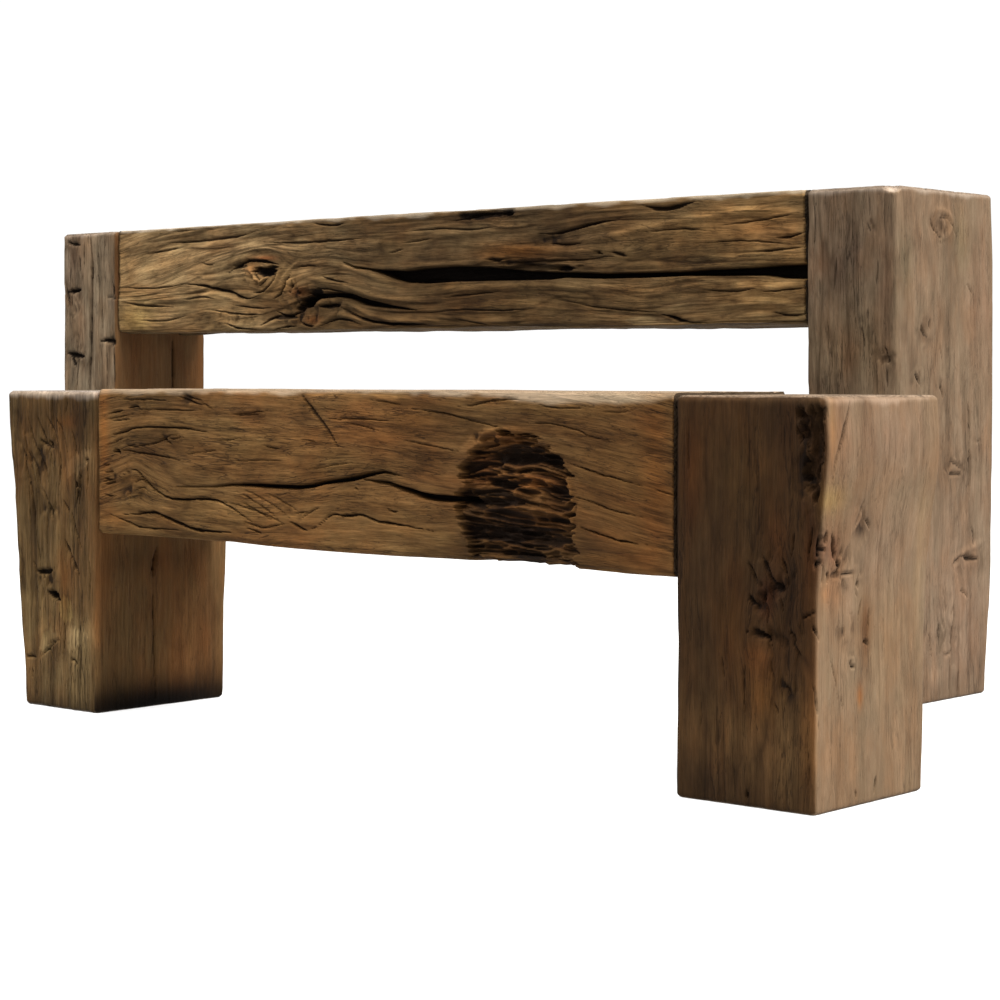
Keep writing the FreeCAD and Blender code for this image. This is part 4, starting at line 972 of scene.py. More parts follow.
def rotted_bed(surface, face, outline, depth, length, seed, black=0.85):
    """A rotted bed, in mm deep: inside the outline the wood is eaten away between hard fibres of the
    given length, and as black as told between them. A fibre is the ridge where a noise drawn out along
    the grain crosses zero. Towards the outline only the soft wood between fibres has gone, so its edge
    frays. Where the timber turns under, the bed is a quarter as deep."""
    axis, place, way = face
    u, v, _ = surface.seen_from(face)
    along = surface.grain[..., surface.along_axis]
    across = surface.grain[..., 2] if surface.along_axis != 2 else surface.grain[..., 1 - axis]
    bent = across + 0.006 * speckle(along, across, 0.8 * length, 0.03, seed + 7)
    strands = np.exp(-np.abs(speckle(along, bent, length, 0.0062, seed + 2)) / 0.24)
    threads = np.exp(-np.abs(speckle(along, bent, 0.5 * length, 0.0034, seed + 3)) / 0.3)
    deep = speckle(along, bent, 1.1 * length, 0.02, seed + 4)
    fibre = np.clip(0.58 * strands + 0.42 * threads - 0.22 * deep, 0, 1)
    edge, _ = surface.on_face(face, outline)
    stray = FRAY * speckle(along, bent, 0.03, 0.004, seed)
    shifted = (u + stray, v) if surface.along_axis != 2 else (u, v + stray)
    gap, _ = nearest(*shifted, np.concatenate([edge, edge[:1]]), 0.03)
    within = np.where(within_outline(*shifted, edge), np.minimum(gap, 0.03), 0.0)
    bed = ease((within - 0.012 * fibre) / 0.0045)
    inward = np.abs(surface.points[..., axis] - place)
    seen = facing(surface.ways, way, 0.1, 0.5) * ease((0.05 - inward) / 0.03)
    under = 0.75 * facing(surface.ways, DOWN, 0.1, 0.6)
    surface.depth += seen * MM * depth * bed * (1.1 - 0.8 * fibre) * (1 - under)
    surface.dark = np.maximum(surface.dark, seen * bed * np.clip(0.95 - 1.5 * fibre, 0, black))
    surface.dirt = np.maximum(surface.dirt, seen * bed * np.clip(1.2 - 0.85 * fibre, 0, 0.4 + 0.7 * black))


ARRIS_ROT = (
    (792, 403), (812, 400), (832, 403), (829, 430), (826, 450), (827, 468), (824, 490), (818, 508),
    (809, 500), (801, 485), (797, 468), (803, 455), (797, 440), (791, 420),
)
rotted_bed(low_right, LOW_FRONT_FACE, ARRIS_ROT, depth=12, length=0.022, seed=41, black=0.3)
low_right.bleached_and_painted_top_light(share=0.4)
low_right_post = timber_object("low_right_post_timber", low_right, pith=(1.05, -0.40))
low_right_post.data.materials.append(weathered_wood(
    "low right post wood", wood=(0.0825, 0.0544, 0.0319), warm=(0.0863, 0.0528, 0.0286),
    worn=(0.17, 0.122, 0.084), contrast=0.85, checking=0.5, mottled=0.3))
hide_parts("low_right_post")
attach(low_right_post, "root")


# Seat beam of the low bench
# A hewn oak-like beam laid between the posts, its top planed flat for sitting. Its front has long drying
# splits, an old saw kerf, and the rotted bed of a housing where another timber once crossed.

BEAM_SETBACK = 0.003
SHOULDER_GAP = 0.0006
LOW_BEAM_FRONT = LOW_CORNER[1] + BEAM_SETBACK
SEAT_FACE = (1, LOW_BEAM_FRONT, FRONT)
POCKET_FACE = (1, LOW_BEAM_FRONT, (0, -0.8, -0.6))
SEAT_UNDERSIDE, SEAT_HEIGHT, SEAT_DEPTH = 0.249, 0.459, 0.226
BEAM_ARRIS = 0.011
BEAM_END_EASE = 0.001
PLANED_OFF = 0.002
BEAM_END_SHADE = (0.16, 0.14, 0.12)
LOW_WAVE = 0.004
LOW_WAVE_SHARES = (
    (0, 1, 0, 0.3), (0.15, 1, 0.2, 0.6), (0.3, 0.5, 0.3, 0.7), (0.45, 0, 0.1, 0.4), (0.6, 0, 0.2, 0),
    (0.72, -0.1, 0.4, 0.1), (0.82, 0.2, 0.5, 0.4), (0.9, -0.6, 0.3, 0.5), (1, -0.8, 0, 0.2),
)


def beam_surface(corner, start, length, front, back, low, high, wave, shares, step, spacing, dense):
    """A beam's worked surface. Its front, back and underside wave by shares that run straight from one
    place along it to the next, and its top is planed flat through the rounded arrises."""
    at, under_share, front_share, back_share = np.array(shares).T

    def limits(c):
        share = c / length
        front_place = front + wave * softened(share, at, front_share)
        back_place = back - wave * softened(share, at, back_share)
        under_place = low + wave * softened(share, at, under_share)
        return front_place, back_place, under_place, high + PLANED_OFF + 0 * c
    points, ways, shrink, body = timber_skin(
        length, step, limits, BEAM_ARRIS, spacing, BEAM_END_EASE, BEAM_END_EASE, caps=(3, 3),
        flat_top=high, dense=dense)
    points, ways = points[..., [2, 0, 1]] + corner + np.array([start, 0, 0]), ways[..., [2, 0, 1]]
    return Surface(points, ways, shrink, body, 0)


def worn_plank_top_and_painted_light(surface, top, seed, rubbed=None):
    """The planed top: polished by use and paler, with a soft pale front edge and long drying checks; the
    paler top and edge are worn wood and painted light from above. The pale edge reaches 9 mm down the front,
    and 9 mm further between the two rubbed places along it."""
    x, y, z = (surface.points[..., axis] for axis in range(3))
    edge = 0.006 * speckle(x, 0 * x, 0.05, 1.0, seed) + 0.003 * speckle(x, 0 * x, 0.017, 1.0, seed + 1)
    reach = 0.009
    if rubbed is not None:
        share = ease((x - rubbed[0]) / 0.12) * ease((rubbed[1] - x) / 0.04)
        edge = edge * (1 - 0.6 * share) + reach * share
    up = facing(surface.ways, UP, 0.5, 0.95)
    # painted top light and wear: the top and its front edge are paler
    surface.pale = np.maximum(surface.pale, np.maximum(ease((z - top + reach + edge) / 0.007), up) * 0.8)
    bent = y + 0.007 * speckle(x, y, 0.13, 0.06, seed + 4)
    check = np.exp(-(speckle(0 * x, bent, 1.0, 0.019, seed + 2) / 0.07) ** 2)
    check = check * ease(0.2 + 1.6 * speckle(x, bent, 0.16, 0.04, seed + 3))
    surface.depth += up * MM * 1.5 * check
    surface.dark = np.maximum(surface.dark, up * check * 0.7)


def split_lips(split):
    """The upper and the lower lip of a split, given as (pixel across, pixel down, thickness) places."""
    return [[(across, down + side * thick / 2) for across, down, thick in split] for side in (-1, 1)]


seat = beam_surface(
    LOW_CORNER, start=LOW_LEFT_WIDTH + SHOULDER_GAP,
    length=LOW_LENGTH - LOW_LEFT_WIDTH - LOW_RIGHT_WIDTH - 2 * SHOULDER_GAP, front=BEAM_SETBACK,
    back=BEAM_SETBACK + SEAT_DEPTH, low=SEAT_UNDERSIDE, high=SEAT_HEIGHT, wave=LOW_WAVE,
    shares=LOW_WAVE_SHARES, step=0.0036, spacing=(0.010, 0.0055, 0.0042, 0.0014),
    dense=(0.655, 0.885, 0.0022))
SEAT_GRAIN_LINES = (
    ((100, 412), (150, 407), (210, 404), (300, 408), (400, 412), (480, 424), (560, 428), (620, 441),
      (674, 455)),
    ((100, 438), (138, 428), (215, 431), (300, 437), (370, 441), (450, 458), (520, 455), (562, 462),
      (620, 479), (674, 496)),
    ((100, 474), (118, 468), (135, 462), (150, 472), (176, 486), (240, 486), (300, 486), (365, 474),
      (400, 478), (460, 492), (520, 485), (570, 497), (640, 517), (674, 526)),
    ((100, 500), (120, 492), (137, 486), (150, 497), (180, 502), (215, 503), (258, 512), (300, 505),
      (350, 503), (420, 512), (470, 515), (573, 525), (648, 545), (674, 550)),
    ((100, 514), (143, 516), (170, 524), (232, 533), (300, 531), (350, 530), (420, 535), (470, 540),
      (570, 548), (674, 562)),
)
seat.flow(SEAT_FACE, SEAT_GRAIN_LINES)
for beam_end in (RIGHT, LEFT):
    seat.paint(beam_end, colour=BEAM_END_SHADE)
seat.wander(amount=3.0, seed=43)
seat.weather(hewn=1.2, groove=1.1, fibre=0.4, layer=1.2, seed=47)
seat.worn_arris(amount=2.2, seed=53)
SEAT_LONG_SPLIT = (
    (176, 487, 1), (210, 487, 1.5), (228, 485, 3), (245, 485, 4), (260, 486, 5), (280, 487, 5.5),
    (295, 487.5, 5.5), (310, 486, 5), (320, 483, 5), (335, 481, 5.5), (350, 479, 6), (365, 475, 5),
    (380, 472, 3.5), (400, 476, 1),
)
seat.gap_between(SEAT_FACE, *split_lips(SEAT_LONG_SPLIT), depth=20)
SEAT_SECOND_SPLIT = (
    (360, 479, 1), (375, 482, 3), (385, 483, 4), (400, 489, 5.5), (410, 492, 6.5), (420, 496, 7.5),
    (430, 498, 8), (445, 499, 8), (458, 500, 7), (470, 500, 6),
)
seat.gap_between(SEAT_FACE, *split_lips(SEAT_SECOND_SPLIT), depth=22)
SEAT_CRACKS = (
    (2, 5, ((113, 435), (125, 431), (138, 427), (160, 427), (175, 428), (190, 429), (203, 432),
      (215, 431))),
    (2.2, 7, ((118, 478), (125, 473), (130, 470), (135, 470), (139, 472), (142, 477), (148, 484),
      (155, 491), (163, 496), (172, 499), (180, 500), (205, 499), (215, 500), (230, 508), (245, 518),
      (258, 526))),
    (1.8, 5, ((106, 513), (115, 517), (125, 521), (135, 526), (142, 528), (155, 529), (180, 530))),
    (3, 7, ((120, 514), (135, 515), (143, 513), (150, 512), (157, 514), (170, 520), (182, 525), (190, 529),
      (200, 531), (220, 532), (232, 532))),
    (1.6, 4, ((240, 520), (255, 527), (262, 528), (275, 526), (285, 523))),
    (1.8, 4, ((245, 528), (255, 532), (262, 535))),
    (2.2, 5, ((287, 521), (295, 526), (303, 530), (308, 531))),
    (2.4, 6, ((310, 529), (317, 526), (323, 521), (327, 516), (335, 514), (340, 516), (350, 516),
      (358, 514), (365, 517), (375, 521), (385, 523), (400, 525), (420, 529), (432, 532))),
    (4.6, 4, ((296, 389), (302, 398), (310, 409), (320, 422), (330, 436), (338, 448))),
    (1.6, 4, ((562, 462), (580, 468), (600, 475), (620, 480), (640, 486))),
    (1.5, 3, ((655, 490), (674, 496))),
    (1.6, 4, ((570, 497), (585, 500), (600, 507), (620, 513), (640, 517))),
    (1.8, 5, ((573, 525), (585, 530), (600, 535), (620, 542), (648, 545))),
    (1.8, 3, ((456, 407), (475, 405), (490, 401), (505, 399), (525, 399))),
    (1.5, 3, ((532, 402), (540, 406), (555, 408), (585, 408))),
    (1.5, 2, ((600, 412), (620, 413), (632, 410))),
    (1.6, 3, ((520, 423), (545, 423), (560, 426), (575, 430), (590, 438), (610, 440))),
    (1.4, 3, ((400, 408), (440, 412), (480, 424), (520, 431))),
    (1.4, 3, ((400, 440), (430, 446), (460, 452))),
    (1.6, 3, ((140, 410), (155, 409), (175, 411), (200, 410))),
    (2.5, 4, ((128, 408), (135, 406), (140, 410))), (1.5, 3, ((175, 392), (190, 398), (205, 401))),
    (1.5, 3, ((200, 402), (206, 406), (212, 410))), (1.5, 3, ((230, 416), (245, 415), (262, 414))),
    (1.5, 3, ((125, 445), (133, 447), (140, 447))), (1.8, 4, ((108, 414), (116, 412), (124, 410))),
    (1.6, 3, ((110, 421), (120, 420), (131, 419))), (1.8, 4, ((112, 435), (121, 432), (131, 430))),
    (1.6, 3, ((112, 442), (122, 438))), (1.8, 4, ((103, 478), (108, 480), (113, 479))),
    (1.8, 4, ((103, 484), (109, 484), (115, 481))), (1.6, 3, ((103, 493), (108, 496), (114, 495))),
    (1.6, 4, ((114, 451), (122, 450), (140, 453), (165, 457), (185, 462))),
    (1.5, 3, ((128, 444), (140, 446), (155, 443), (170, 434), (182, 437))),
    (2.2, 4, ((160, 436), (165, 441), (171, 445))),
    (1.8, 4, ((175, 396), (185, 399), (193, 403), (203, 405))),
    (1.6, 3, ((227, 415), (245, 413), (267, 411))),
    (1.4, 3, ((232, 490), (245, 497), (262, 507), (278, 520))),
    (1.4, 3, ((240, 489), (258, 497), (275, 507), (290, 520))),
    (1.4, 3, ((236, 499), (250, 508), (270, 520))), (1.4, 3, ((262, 492), (280, 500), (300, 514))),
    (1.4, 3, ((292, 514), (300, 513), (310, 512))), (1.4, 3, ((298, 520), (312, 510), (322, 505))),
    (1.4, 3, ((132, 484), (140, 478), (147, 484), (152, 491))),
    (1.4, 3, ((135, 491), (141, 486), (147, 492))), (4, 7, ((113, 452), (116, 450), (119, 454))),
    (1.4, 3, ((165, 437), (172, 440), (180, 436))), (1.4, 3, ((320, 419), (360, 419), (400, 421))),
    (1.4, 3, ((345, 423), (365, 427), (380, 431))), (1.4, 3, ((300, 440), (315, 441))),
    (1.4, 3, ((262, 445), (270, 448), (280, 449))), (1.4, 3, ((370, 400), (385, 402), (402, 405))),
    (1.4, 3, ((120, 400), (150, 399), (170, 402))), (2, 4, ((385, 508), (392, 513), (397, 510))),
    (2, 4, ((352, 487), (357, 490))), (1.3, 3, ((215, 500), (240, 506), (270, 517), (290, 528))),
    (1.3, 3, ((102, 466), (110, 464))), (1.3, 3, ((102, 473), (114, 471))),
    (1.3, 3, ((102, 482), (112, 480))), (1.3, 2, ((104, 420), (118, 417), (132, 414))),
    (1.3, 2, ((104, 445), (118, 441))), (1.3, 2, ((210, 440), (225, 441), (240, 438))),
    (1.3, 2, ((180, 455), (200, 452), (220, 450))), (1.3, 2, ((225, 462), (260, 460), (290, 462))),
    (1.3, 2, ((300, 470), (330, 466), (355, 462))),
)
seat.cracks(SEAT_FACE, SEAT_CRACKS)
SEAT_GNARLS = (
    (131, 492, 14, 10, 3), (168, 438, 12, 8, 2), (137, 410, 12, 8, 3), (190, 398, 16, 8, 2.5),
    (118, 474, 14, 14, 2.5), (290, 515, 16, 8, 2), (480, 440, 22, 10, 3), (572, 500, 8, 30, 2),
)
seat.gnarls(SEAT_FACE, SEAT_GNARLS, seed=57)
SEAT_RIDGES = ((3, 2, ((540, 444), (550, 452), (558, 460))), (3, 2, ((365, 392), (385, 398), (402, 402))))
seat.ridges(SEAT_FACE, SEAT_RIDGES)
POCKET = (
    (478, 431), (466, 446), (459, 457), (454, 468), (459, 479), (454, 490), (452, 500), (450, 513),
    (453, 522), (459, 530), (461, 540), (465, 550), (470, 592), (577, 606), (578, 552), (576, 540),
    (574, 527), (576, 517), (574, 508), (572, 498), (567, 487), (571, 480), (571, 470), (565, 459),
    (556, 451), (547, 441), (532, 431), (505, 427),
)
rotted_bed(seat, POCKET_FACE, POCKET, depth=16, length=0.05, seed=59)
SEAT_HOLLOWS = (
    (520, 459, 40, 7, 8, 0.85), (495, 484, 14, 3.5, 7, 0.9), (485, 502, 26, 5, 6, 0.85),
    (505, 535, 34, 9, 6, 0.8),
)
seat.hollows(SEAT_FACE, SEAT_HOLLOWS, seed=61)
SEAT_POCKET_RIDGES = (
    (1.5, 4, ((478, 436), (490, 430), (505, 428), (522, 431))),
    (1.5, 4, ((472, 445), (490, 438), (508, 435), (530, 440))),
    (1.5, 5, ((470, 453), (492, 447), (512, 444), (538, 450), (552, 462))),
    (1.8, 6, ((478, 480), (500, 474), (525, 476), (548, 484), (562, 497))),
    (1.5, 5, ((500, 492), (525, 486), (545, 492), (560, 505))),
    (1.5, 5, ((466, 474), (482, 471), (500, 468))), (1.5, 5, ((462, 462), (475, 459), (490, 461))),
    (1.5, 5, ((470, 514), (500, 507), (535, 509), (560, 518))),
    (1.8, 6, ((500, 533), (528, 529), (553, 531))), (1.5, 5, ((545, 452), (556, 462), (564, 478))),
    (1.5, 5, ((562, 470), (569, 488), (571, 510), (569, 535))),
    (1.5, 5, ((468, 496), (490, 494), (505, 497))),
)
seat.ridges(SEAT_FACE, SEAT_POCKET_RIDGES)
SEAT_STAINS = (
    (500, 438, 26, 9, (1.2, 0.97, 0.85)), (530, 484, 34, 9, (1.3, 1.2, 1.1)),
    (476, 468, 10, 16, (1.2, 1.02, 0.97)), (515, 537, 62, 32, (0.44, 0.41, 0.37)),
    (512, 461, 50, 18, (1, 0.88, 0.88)), (466, 522, 9, 34, (0.52, 0.52, 0.6)),
    (103, 430, 5, 50, (1.45, 1.1, 0.8)), (115, 520, 14, 12, (1.12, 1.05, 0.95)),
    (133, 490, 16, 14, (0.95, 1, 1)), (134, 410, 10, 8, (0.6, 0.6, 0.6)),
    (180, 450, 50, 20, (0.88, 0.86, 0.85)), (230, 515, 60, 14, (1.15, 1.15, 1.12)),
    (280, 455, 100, 16, (1.2, 1.2, 1.18)), (135, 435, 34, 50, (0.84, 0.83, 0.82)),
    (430, 440, 50, 50, (0.8, 0.76, 0.75)), (655, 470, 16, 90, (1.08, 0.9, 0.72)),
    (640, 490, 90, 90, (0.75, 0.72, 0.68)), (600, 450, 30, 40, (0.85, 0.8, 0.75)),
    (590, 540, 16, 16, (0.6, 0.6, 0.62)), (630, 560, 30, 12, (0.9, 0.85, 0.8)),
    (400, 392, 80, 6, (1.12, 1.24, 1.34)), (590, 397, 90, 8, (1.35, 1.4, 1.45)),
    (620, 399, 60, 6, (1.35, 1.4, 1.4)), (420, 422, 40, 20, (0.88, 0.88, 0.8)),
    (628, 500, 50, 70, (0.97, 0.9, 0.82)), (380, 450, 30, 20, (0.95, 0.92, 0.9)),
    (540, 415, 40, 12, (0.88, 0.85, 0.8)),
)
seat.stains_and_painted_light(SEAT_FACE, SEAT_STAINS)
seat.splits(BACK, half_wide=3.0, depth=9, seed=309)
seat.splits(DOWN, half_wide=4.5, depth=7, seed=311)
RUBBED_PIXELS = ((470, 400), (676, 400))
worn_plank_top_and_painted_light(seat, SEAT_HEIGHT, seed=67,
               rubbed=seen_on(RUBBED_PIXELS, 1, LOW_BEAM_FRONT)[:, 0])
seat.bleached_and_painted_top_light(share=0.5)
seat_beam = timber_object("low_seat_beam_timber", seat, pith=(-0.42, 0.30))
seat_beam.data.materials.append(weathered_wood(
    "seat beam wood", wood=(0.0861, 0.045, 0.0148), warm=(0.0984, 0.0425, 0.0123),
    worn=(0.225, 0.17, 0.116), contrast=1.15, checking=0.6))
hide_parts("low_seat_beam")
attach(seat_beam, "root")


# Left post of the tall bench
# A slimmer grey block with a deep drying groove up its front and short knocked nicks along its arris.

TALL_CORNER = np.array([-1.1445, 0.250, 0.0])
TALL_LENGTH = 1.890
TALL_POST_HEIGHT = 0.750
TALL_LEFT_WIDTH, TALL_LEFT_DEPTH = 0.165, 0.231
TALL_LEFT_LEAN, TALL_LEFT_BACK_LEAN = 0.008, 0.006
TALL_LEFT_SHARES = ((0, 1, 1), (0.25, 0.7, 0.6), (0.5, 0.5, 0.3), (0.75, 0.2, 0), (1, 0, 0.2))
TALL_FRONT_FACE = (1, TALL_CORNER[1], FRONT)
TALL_INNER_FACE = (0, TALL_CORNER[0] + TALL_LEFT_WIDTH, RIGHT)
tall_left_limits = post_limits(
    inner=TALL_LEFT_WIDTH, outward=-1, width=TALL_LEFT_WIDTH, depth=TALL_LEFT_DEPTH, lean=TALL_LEFT_LEAN,
    back_lean=TALL_LEFT_BACK_LEAN, shares=TALL_LEFT_SHARES, height=TALL_POST_HEIGHT)
tall_left = post_surface(
    TALL_CORNER, TALL_POST_HEIGHT, tall_left_limits, step=0.0032, spacing=(0.0017, 0.0032, 0.0032, 0.0035))
tall_left.wander(amount=4.0, seed=79)
tall_left.weather(hewn=2.0, groove=3.2, fibre=0.6, layer=2.2, seed=83, calm=((RIGHT, 0.4),))
# painted shade: the inner face, under the top beam, is painted darker and warmer
tall_left.paint(RIGHT, colour=(0.63, 0.435, 0.265))
tall_left.worn_arris(amount=3.5, seed=89)
TALL_LEFT_FRONT_CRACKS = (
    (3.6, 13, ((88, 228), (90, 245), (91, 262), (90, 290), (90, 320), (89, 345), (88, 372), (88, 395))),
    (1.5, 3, ((87, 228), (87, 248))), (1.5, 3, ((105, 235), (104, 250))),
    (1.8, 3, ((83, 240), (83, 258), (82, 272))), (3, 6, ((64, 241), (70, 244), (79, 245))),
    (4, 8, ((67, 292), (73, 291), (80, 289))), (3.5, 6, ((65, 288), (67, 298), (68, 306))),
    (4.5, 8, ((99, 341), (107, 340), (115, 343), (119, 342))), (5, 8, ((65, 352), (72, 355), (84, 357))),
    (4, 7, ((69, 356), (72, 362), (74, 367))), (2.5, 4, ((112, 283), (113, 290), (112, 297))),
    (1.8, 3, ((106, 297), (112, 298), (118, 298))), (2, 4, ((105, 345), (106, 365), (106, 392))),
    (1.5, 2, ((69, 262), (69, 285))), (2, 3, ((75, 340), (76, 375), (75, 395))),
    (1.5, 2, ((97, 238), (97, 275), (98, 300))), (2, 3, ((78, 255), (79, 275))),
    (1.5, 2, ((101, 305), (102, 335))), (2, 3, ((113, 345), (113, 365), (114, 390))),
)
tall_left.cracks(TALL_FRONT_FACE, TALL_LEFT_FRONT_CRACKS, weight=1.1)
TALL_LEFT_FRONT_GNARLS = ((72, 300, 10, 20, 3), (72, 352, 12, 16, 4), (108, 342, 10, 10, 3))
tall_left.gnarls(TALL_FRONT_FACE, TALL_LEFT_FRONT_GNARLS, seed=81)
TALL_LEFT_FRONT_STAINS = (
    (115, 250, 6, 22, (0.6, 0.58, 0.56)), (72, 262, 10, 30, (0.95, 0.9, 0.92)),
    (76, 325, 8, 20, (1.1, 0.95, 0.85)), (68, 300, 8, 14, (0.75, 0.68, 0.62)),
    (100, 320, 14, 60, (1.05, 1.05, 1.02)), (114, 300, 5, 16, (0.78, 0.75, 0.78)),
)
tall_left.stains_and_painted_light(TALL_FRONT_FACE, TALL_LEFT_FRONT_STAINS)
TALL_LEFT_INNER_CRACKS = ((3, 12, ((173, 338), (174, 355), (173, 390))),)
tall_left.cracks(TALL_INNER_FACE, TALL_LEFT_INNER_CRACKS)
tall_left.splits(BACK, half_wide=2.6, depth=7, seed=313)
tall_left.splits(LEFT, half_wide=2.6, depth=7, seed=315)
peg_rings(tall_left, "tall_left")
worn_top_and_painted_light(tall_left, TALL_POST_HEIGHT, seed=97)
tall_left.bleached_and_painted_top_light(share=0.45)
tall_left_post = timber_object("tall_left_post_timber", tall_left, pith=(-1.05, 0.35))
tall_left_post.data.materials.append(weathered_wood(
    "tall left post wood", wood=(0.1065, 0.0767, 0.0483), warm=(0.113, 0.069, 0.0368),
    worn=(0.204, 0.161, 0.125), contrast=0.95, checking=0.5, mottled=0.2))
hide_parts("tall_left_post")
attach(tall_left_post, "root")


# Right post of the tall bench
# The tallest block, grey-brown in front and paler at its outer side, with scars of old nails and a chip
# knocked off the top of its front outer arris.

TALL_RIGHT_SHARES = (
    (0, 0.6, 1), (0.12, 0.3, 0.68), (0.25, 0.1, 0.42), (0.43, 0, 0.34), (0.65, 0.2, 0.17), (0.85, 0.6, 0),
    (1, 1, 0.1),
)
TALL_RIGHT_WIDTH, TALL_RIGHT_DEPTH = 0.162, 0.280
TALL_RIGHT_LEAN, TALL_RIGHT_BACK_LEAN = 0.006, 0.027
TALL_OUTER_FACE = (0, TALL_CORNER[0] + TALL_LENGTH, RIGHT)
tall_right_limits = post_limits(
    inner=TALL_LENGTH - TALL_RIGHT_WIDTH, outward=1, width=TALL_RIGHT_WIDTH, depth=TALL_RIGHT_DEPTH,
    lean=TALL_RIGHT_LEAN, back_lean=TALL_RIGHT_BACK_LEAN, shares=TALL_RIGHT_SHARES, height=TALL_POST_HEIGHT)
tall_right = post_surface(
    TALL_CORNER, TALL_POST_HEIGHT, tall_right_limits, step=0.0032, spacing=(0.0017, 0.0021, 0.0034, 0.004))
TALL_RIGHT_OUTER_KNOTS = (
    (945, 226, 14, 18, 0.5), (926, 332, 8, 18, 0.4), (955, 465, 12, 14, 0.45), (968, 562, 14, 16, 0.4),
)
tall_right.knots(TALL_OUTER_FACE, TALL_RIGHT_OUTER_KNOTS)
TALL_RIGHT_FRONT_KNOTS = ((888, 361, 8, 14, 0.7),)
tall_right.knots(TALL_FRONT_FACE, TALL_RIGHT_FRONT_KNOTS)
tall_right.wander(amount=5.0, seed=101)
tall_right.weather(hewn=1.8, groove=1.9, fibre=0.5, layer=1.2, seed=103, calm=((RIGHT, 0.6),))
tall_right.worn_arris(amount=2.5, seed=107)
TALL_RIGHT_FRONT_CRACKS = (
    (1.8, 3, ((813, 195), (814, 225), (813, 255))), (2.5, 3, ((866, 222), (868, 228), (870, 233))),
    (2.2, 4, ((860, 325), (862, 335), (864, 349))), (2.2, 4, ((884, 345), (886, 354), (888, 361))),
    (4, 7, ((887, 360), (889, 362))), (2, 3, ((886, 365), (886, 378), (887, 392))),
    (1.6, 2, ((868, 195), (869, 215))), (3, 2, ((836, 255), (834, 275), (833, 292))),
    (1.8, 2, ((852, 285), (854, 300), (853, 322))), (2, 3, ((867, 310), (866, 320))),
    (1.6, 2, ((826, 318), (828, 335), (827, 350))), (1.5, 2, ((818, 275), (819, 300))),
    (2, 2, ((851, 230), (853, 250))), (1.5, 2, ((878, 255), (876, 290))),
    (1.6, 2, ((840, 330), (841, 360), (838, 390))),
)
tall_right.cracks(TALL_FRONT_FACE, TALL_RIGHT_FRONT_CRACKS, weight=0.85)
TALL_RIGHT_OUTER_CRACKS = (
    (2, 4, ((896, 198), (895, 210), (895, 222))),
    (2.2, 3, ((934, 216), (936, 226), (941, 234), (948, 240))),
    (1.6, 2, ((940, 216), (948, 217), (956, 219))), (1.5, 2, ((954, 220), (958, 228), (960, 236))),
    (2.6, 3, ((922, 322), (926, 331), (930, 338))), (2, 2, ((932, 318), (932, 330))),
    (3, 4, ((916, 374), (919, 377), (922, 385))), (1.8, 2, ((941, 343), (943, 352), (944, 362))),
    (2, 3, ((941, 384), (943, 391), (945, 400))), (2, 3, ((898, 270), (898, 285), (897, 300))),
    (1.5, 2, ((908, 228), (908, 258), (909, 288))), (1.8, 2, ((969, 282), (972, 288), (976, 296))),
    (2.4, 6, ((969, 402), (970, 420), (970, 442))), (2.2, 5, ((970, 442), (971, 465), (970, 500))),
    (1.6, 2, ((971, 440), (978, 440), (984, 440))), (3, 3, ((948, 473), (955, 474), (964, 473))),
    (2.5, 2, ((950, 460), (958, 464), (963, 470))), (2.5, 3, ((972, 527), (975, 535), (974, 548))),
    (3.5, 4, ((962, 556), (970, 559), (980, 559))), (3, 3, ((952, 566), (957, 562), (962, 555))),
    (2.4, 3, ((939, 620), (941, 632), (941, 650))),
    (2.2, 3, ((955, 596), (956, 615), (954, 640), (952, 655))),
    (1.8, 3, ((952, 660), (952, 680), (952, 698))), (2, 2, ((960, 590), (966, 592), (970, 598))),
    (2.2, 2, ((944, 655), (950, 655), (954, 650))), (1.5, 2, ((930, 630), (934, 660))),
    (1.8, 6, ((961, 668), (960, 680), (960, 698))),
)
tall_right.cracks(TALL_OUTER_FACE, TALL_RIGHT_OUTER_CRACKS, weight=1.25)
TALL_RIGHT_OUTER_HOLLOWS = (
    (926, 331, 4, 8, 1.2, 0.15), (957, 466, 8, 4, 1, 0.15), (971, 560, 7, 4, 1.5, 0.2),
    (941, 634, 3, 10, 1.5, 0.25),
)
tall_right.hollows(TALL_OUTER_FACE, TALL_RIGHT_OUTER_HOLLOWS, seed=105)
TALL_RIGHT_OUTER_GNARLS = (
    (945, 228, 12, 16, 2), (926, 332, 8, 16, 2.5), (918, 380, 8, 12, 2), (955, 466, 14, 12, 2),
    (970, 562, 16, 14, 2.5), (950, 640, 10, 40, 2), (944, 388, 6, 12, 1.5), (974, 290, 8, 14, 1.5),
)
tall_right.gnarls(TALL_OUTER_FACE, TALL_RIGHT_OUTER_GNARLS, seed=99, black=0.35)
TALL_RIGHT_FRONT_GNARLS = ((884, 356, 10, 16, 2.5), (862, 335, 8, 16, 1.5), (868, 226, 8, 12, 1.5))
tall_right.gnarls(TALL_FRONT_FACE, TALL_RIGHT_FRONT_GNARLS, seed=98, black=0.3)
TALL_RIGHT_OUTER_RIDGES = (
    (2.5, 2, ((933, 214), (940, 209), (952, 211), (958, 222), (952, 238), (942, 236), (934, 225))),
    (3, 2, ((985, 540), (972, 548), (958, 556), (950, 566))),
    (3, 2, ((947, 576), (948, 600), (944, 640), (950, 665))),
    (3, 1.5, ((960, 585), (961, 620), (962, 650))),
)
tall_right.ridges(TALL_OUTER_FACE, TALL_RIGHT_OUTER_RIDGES)
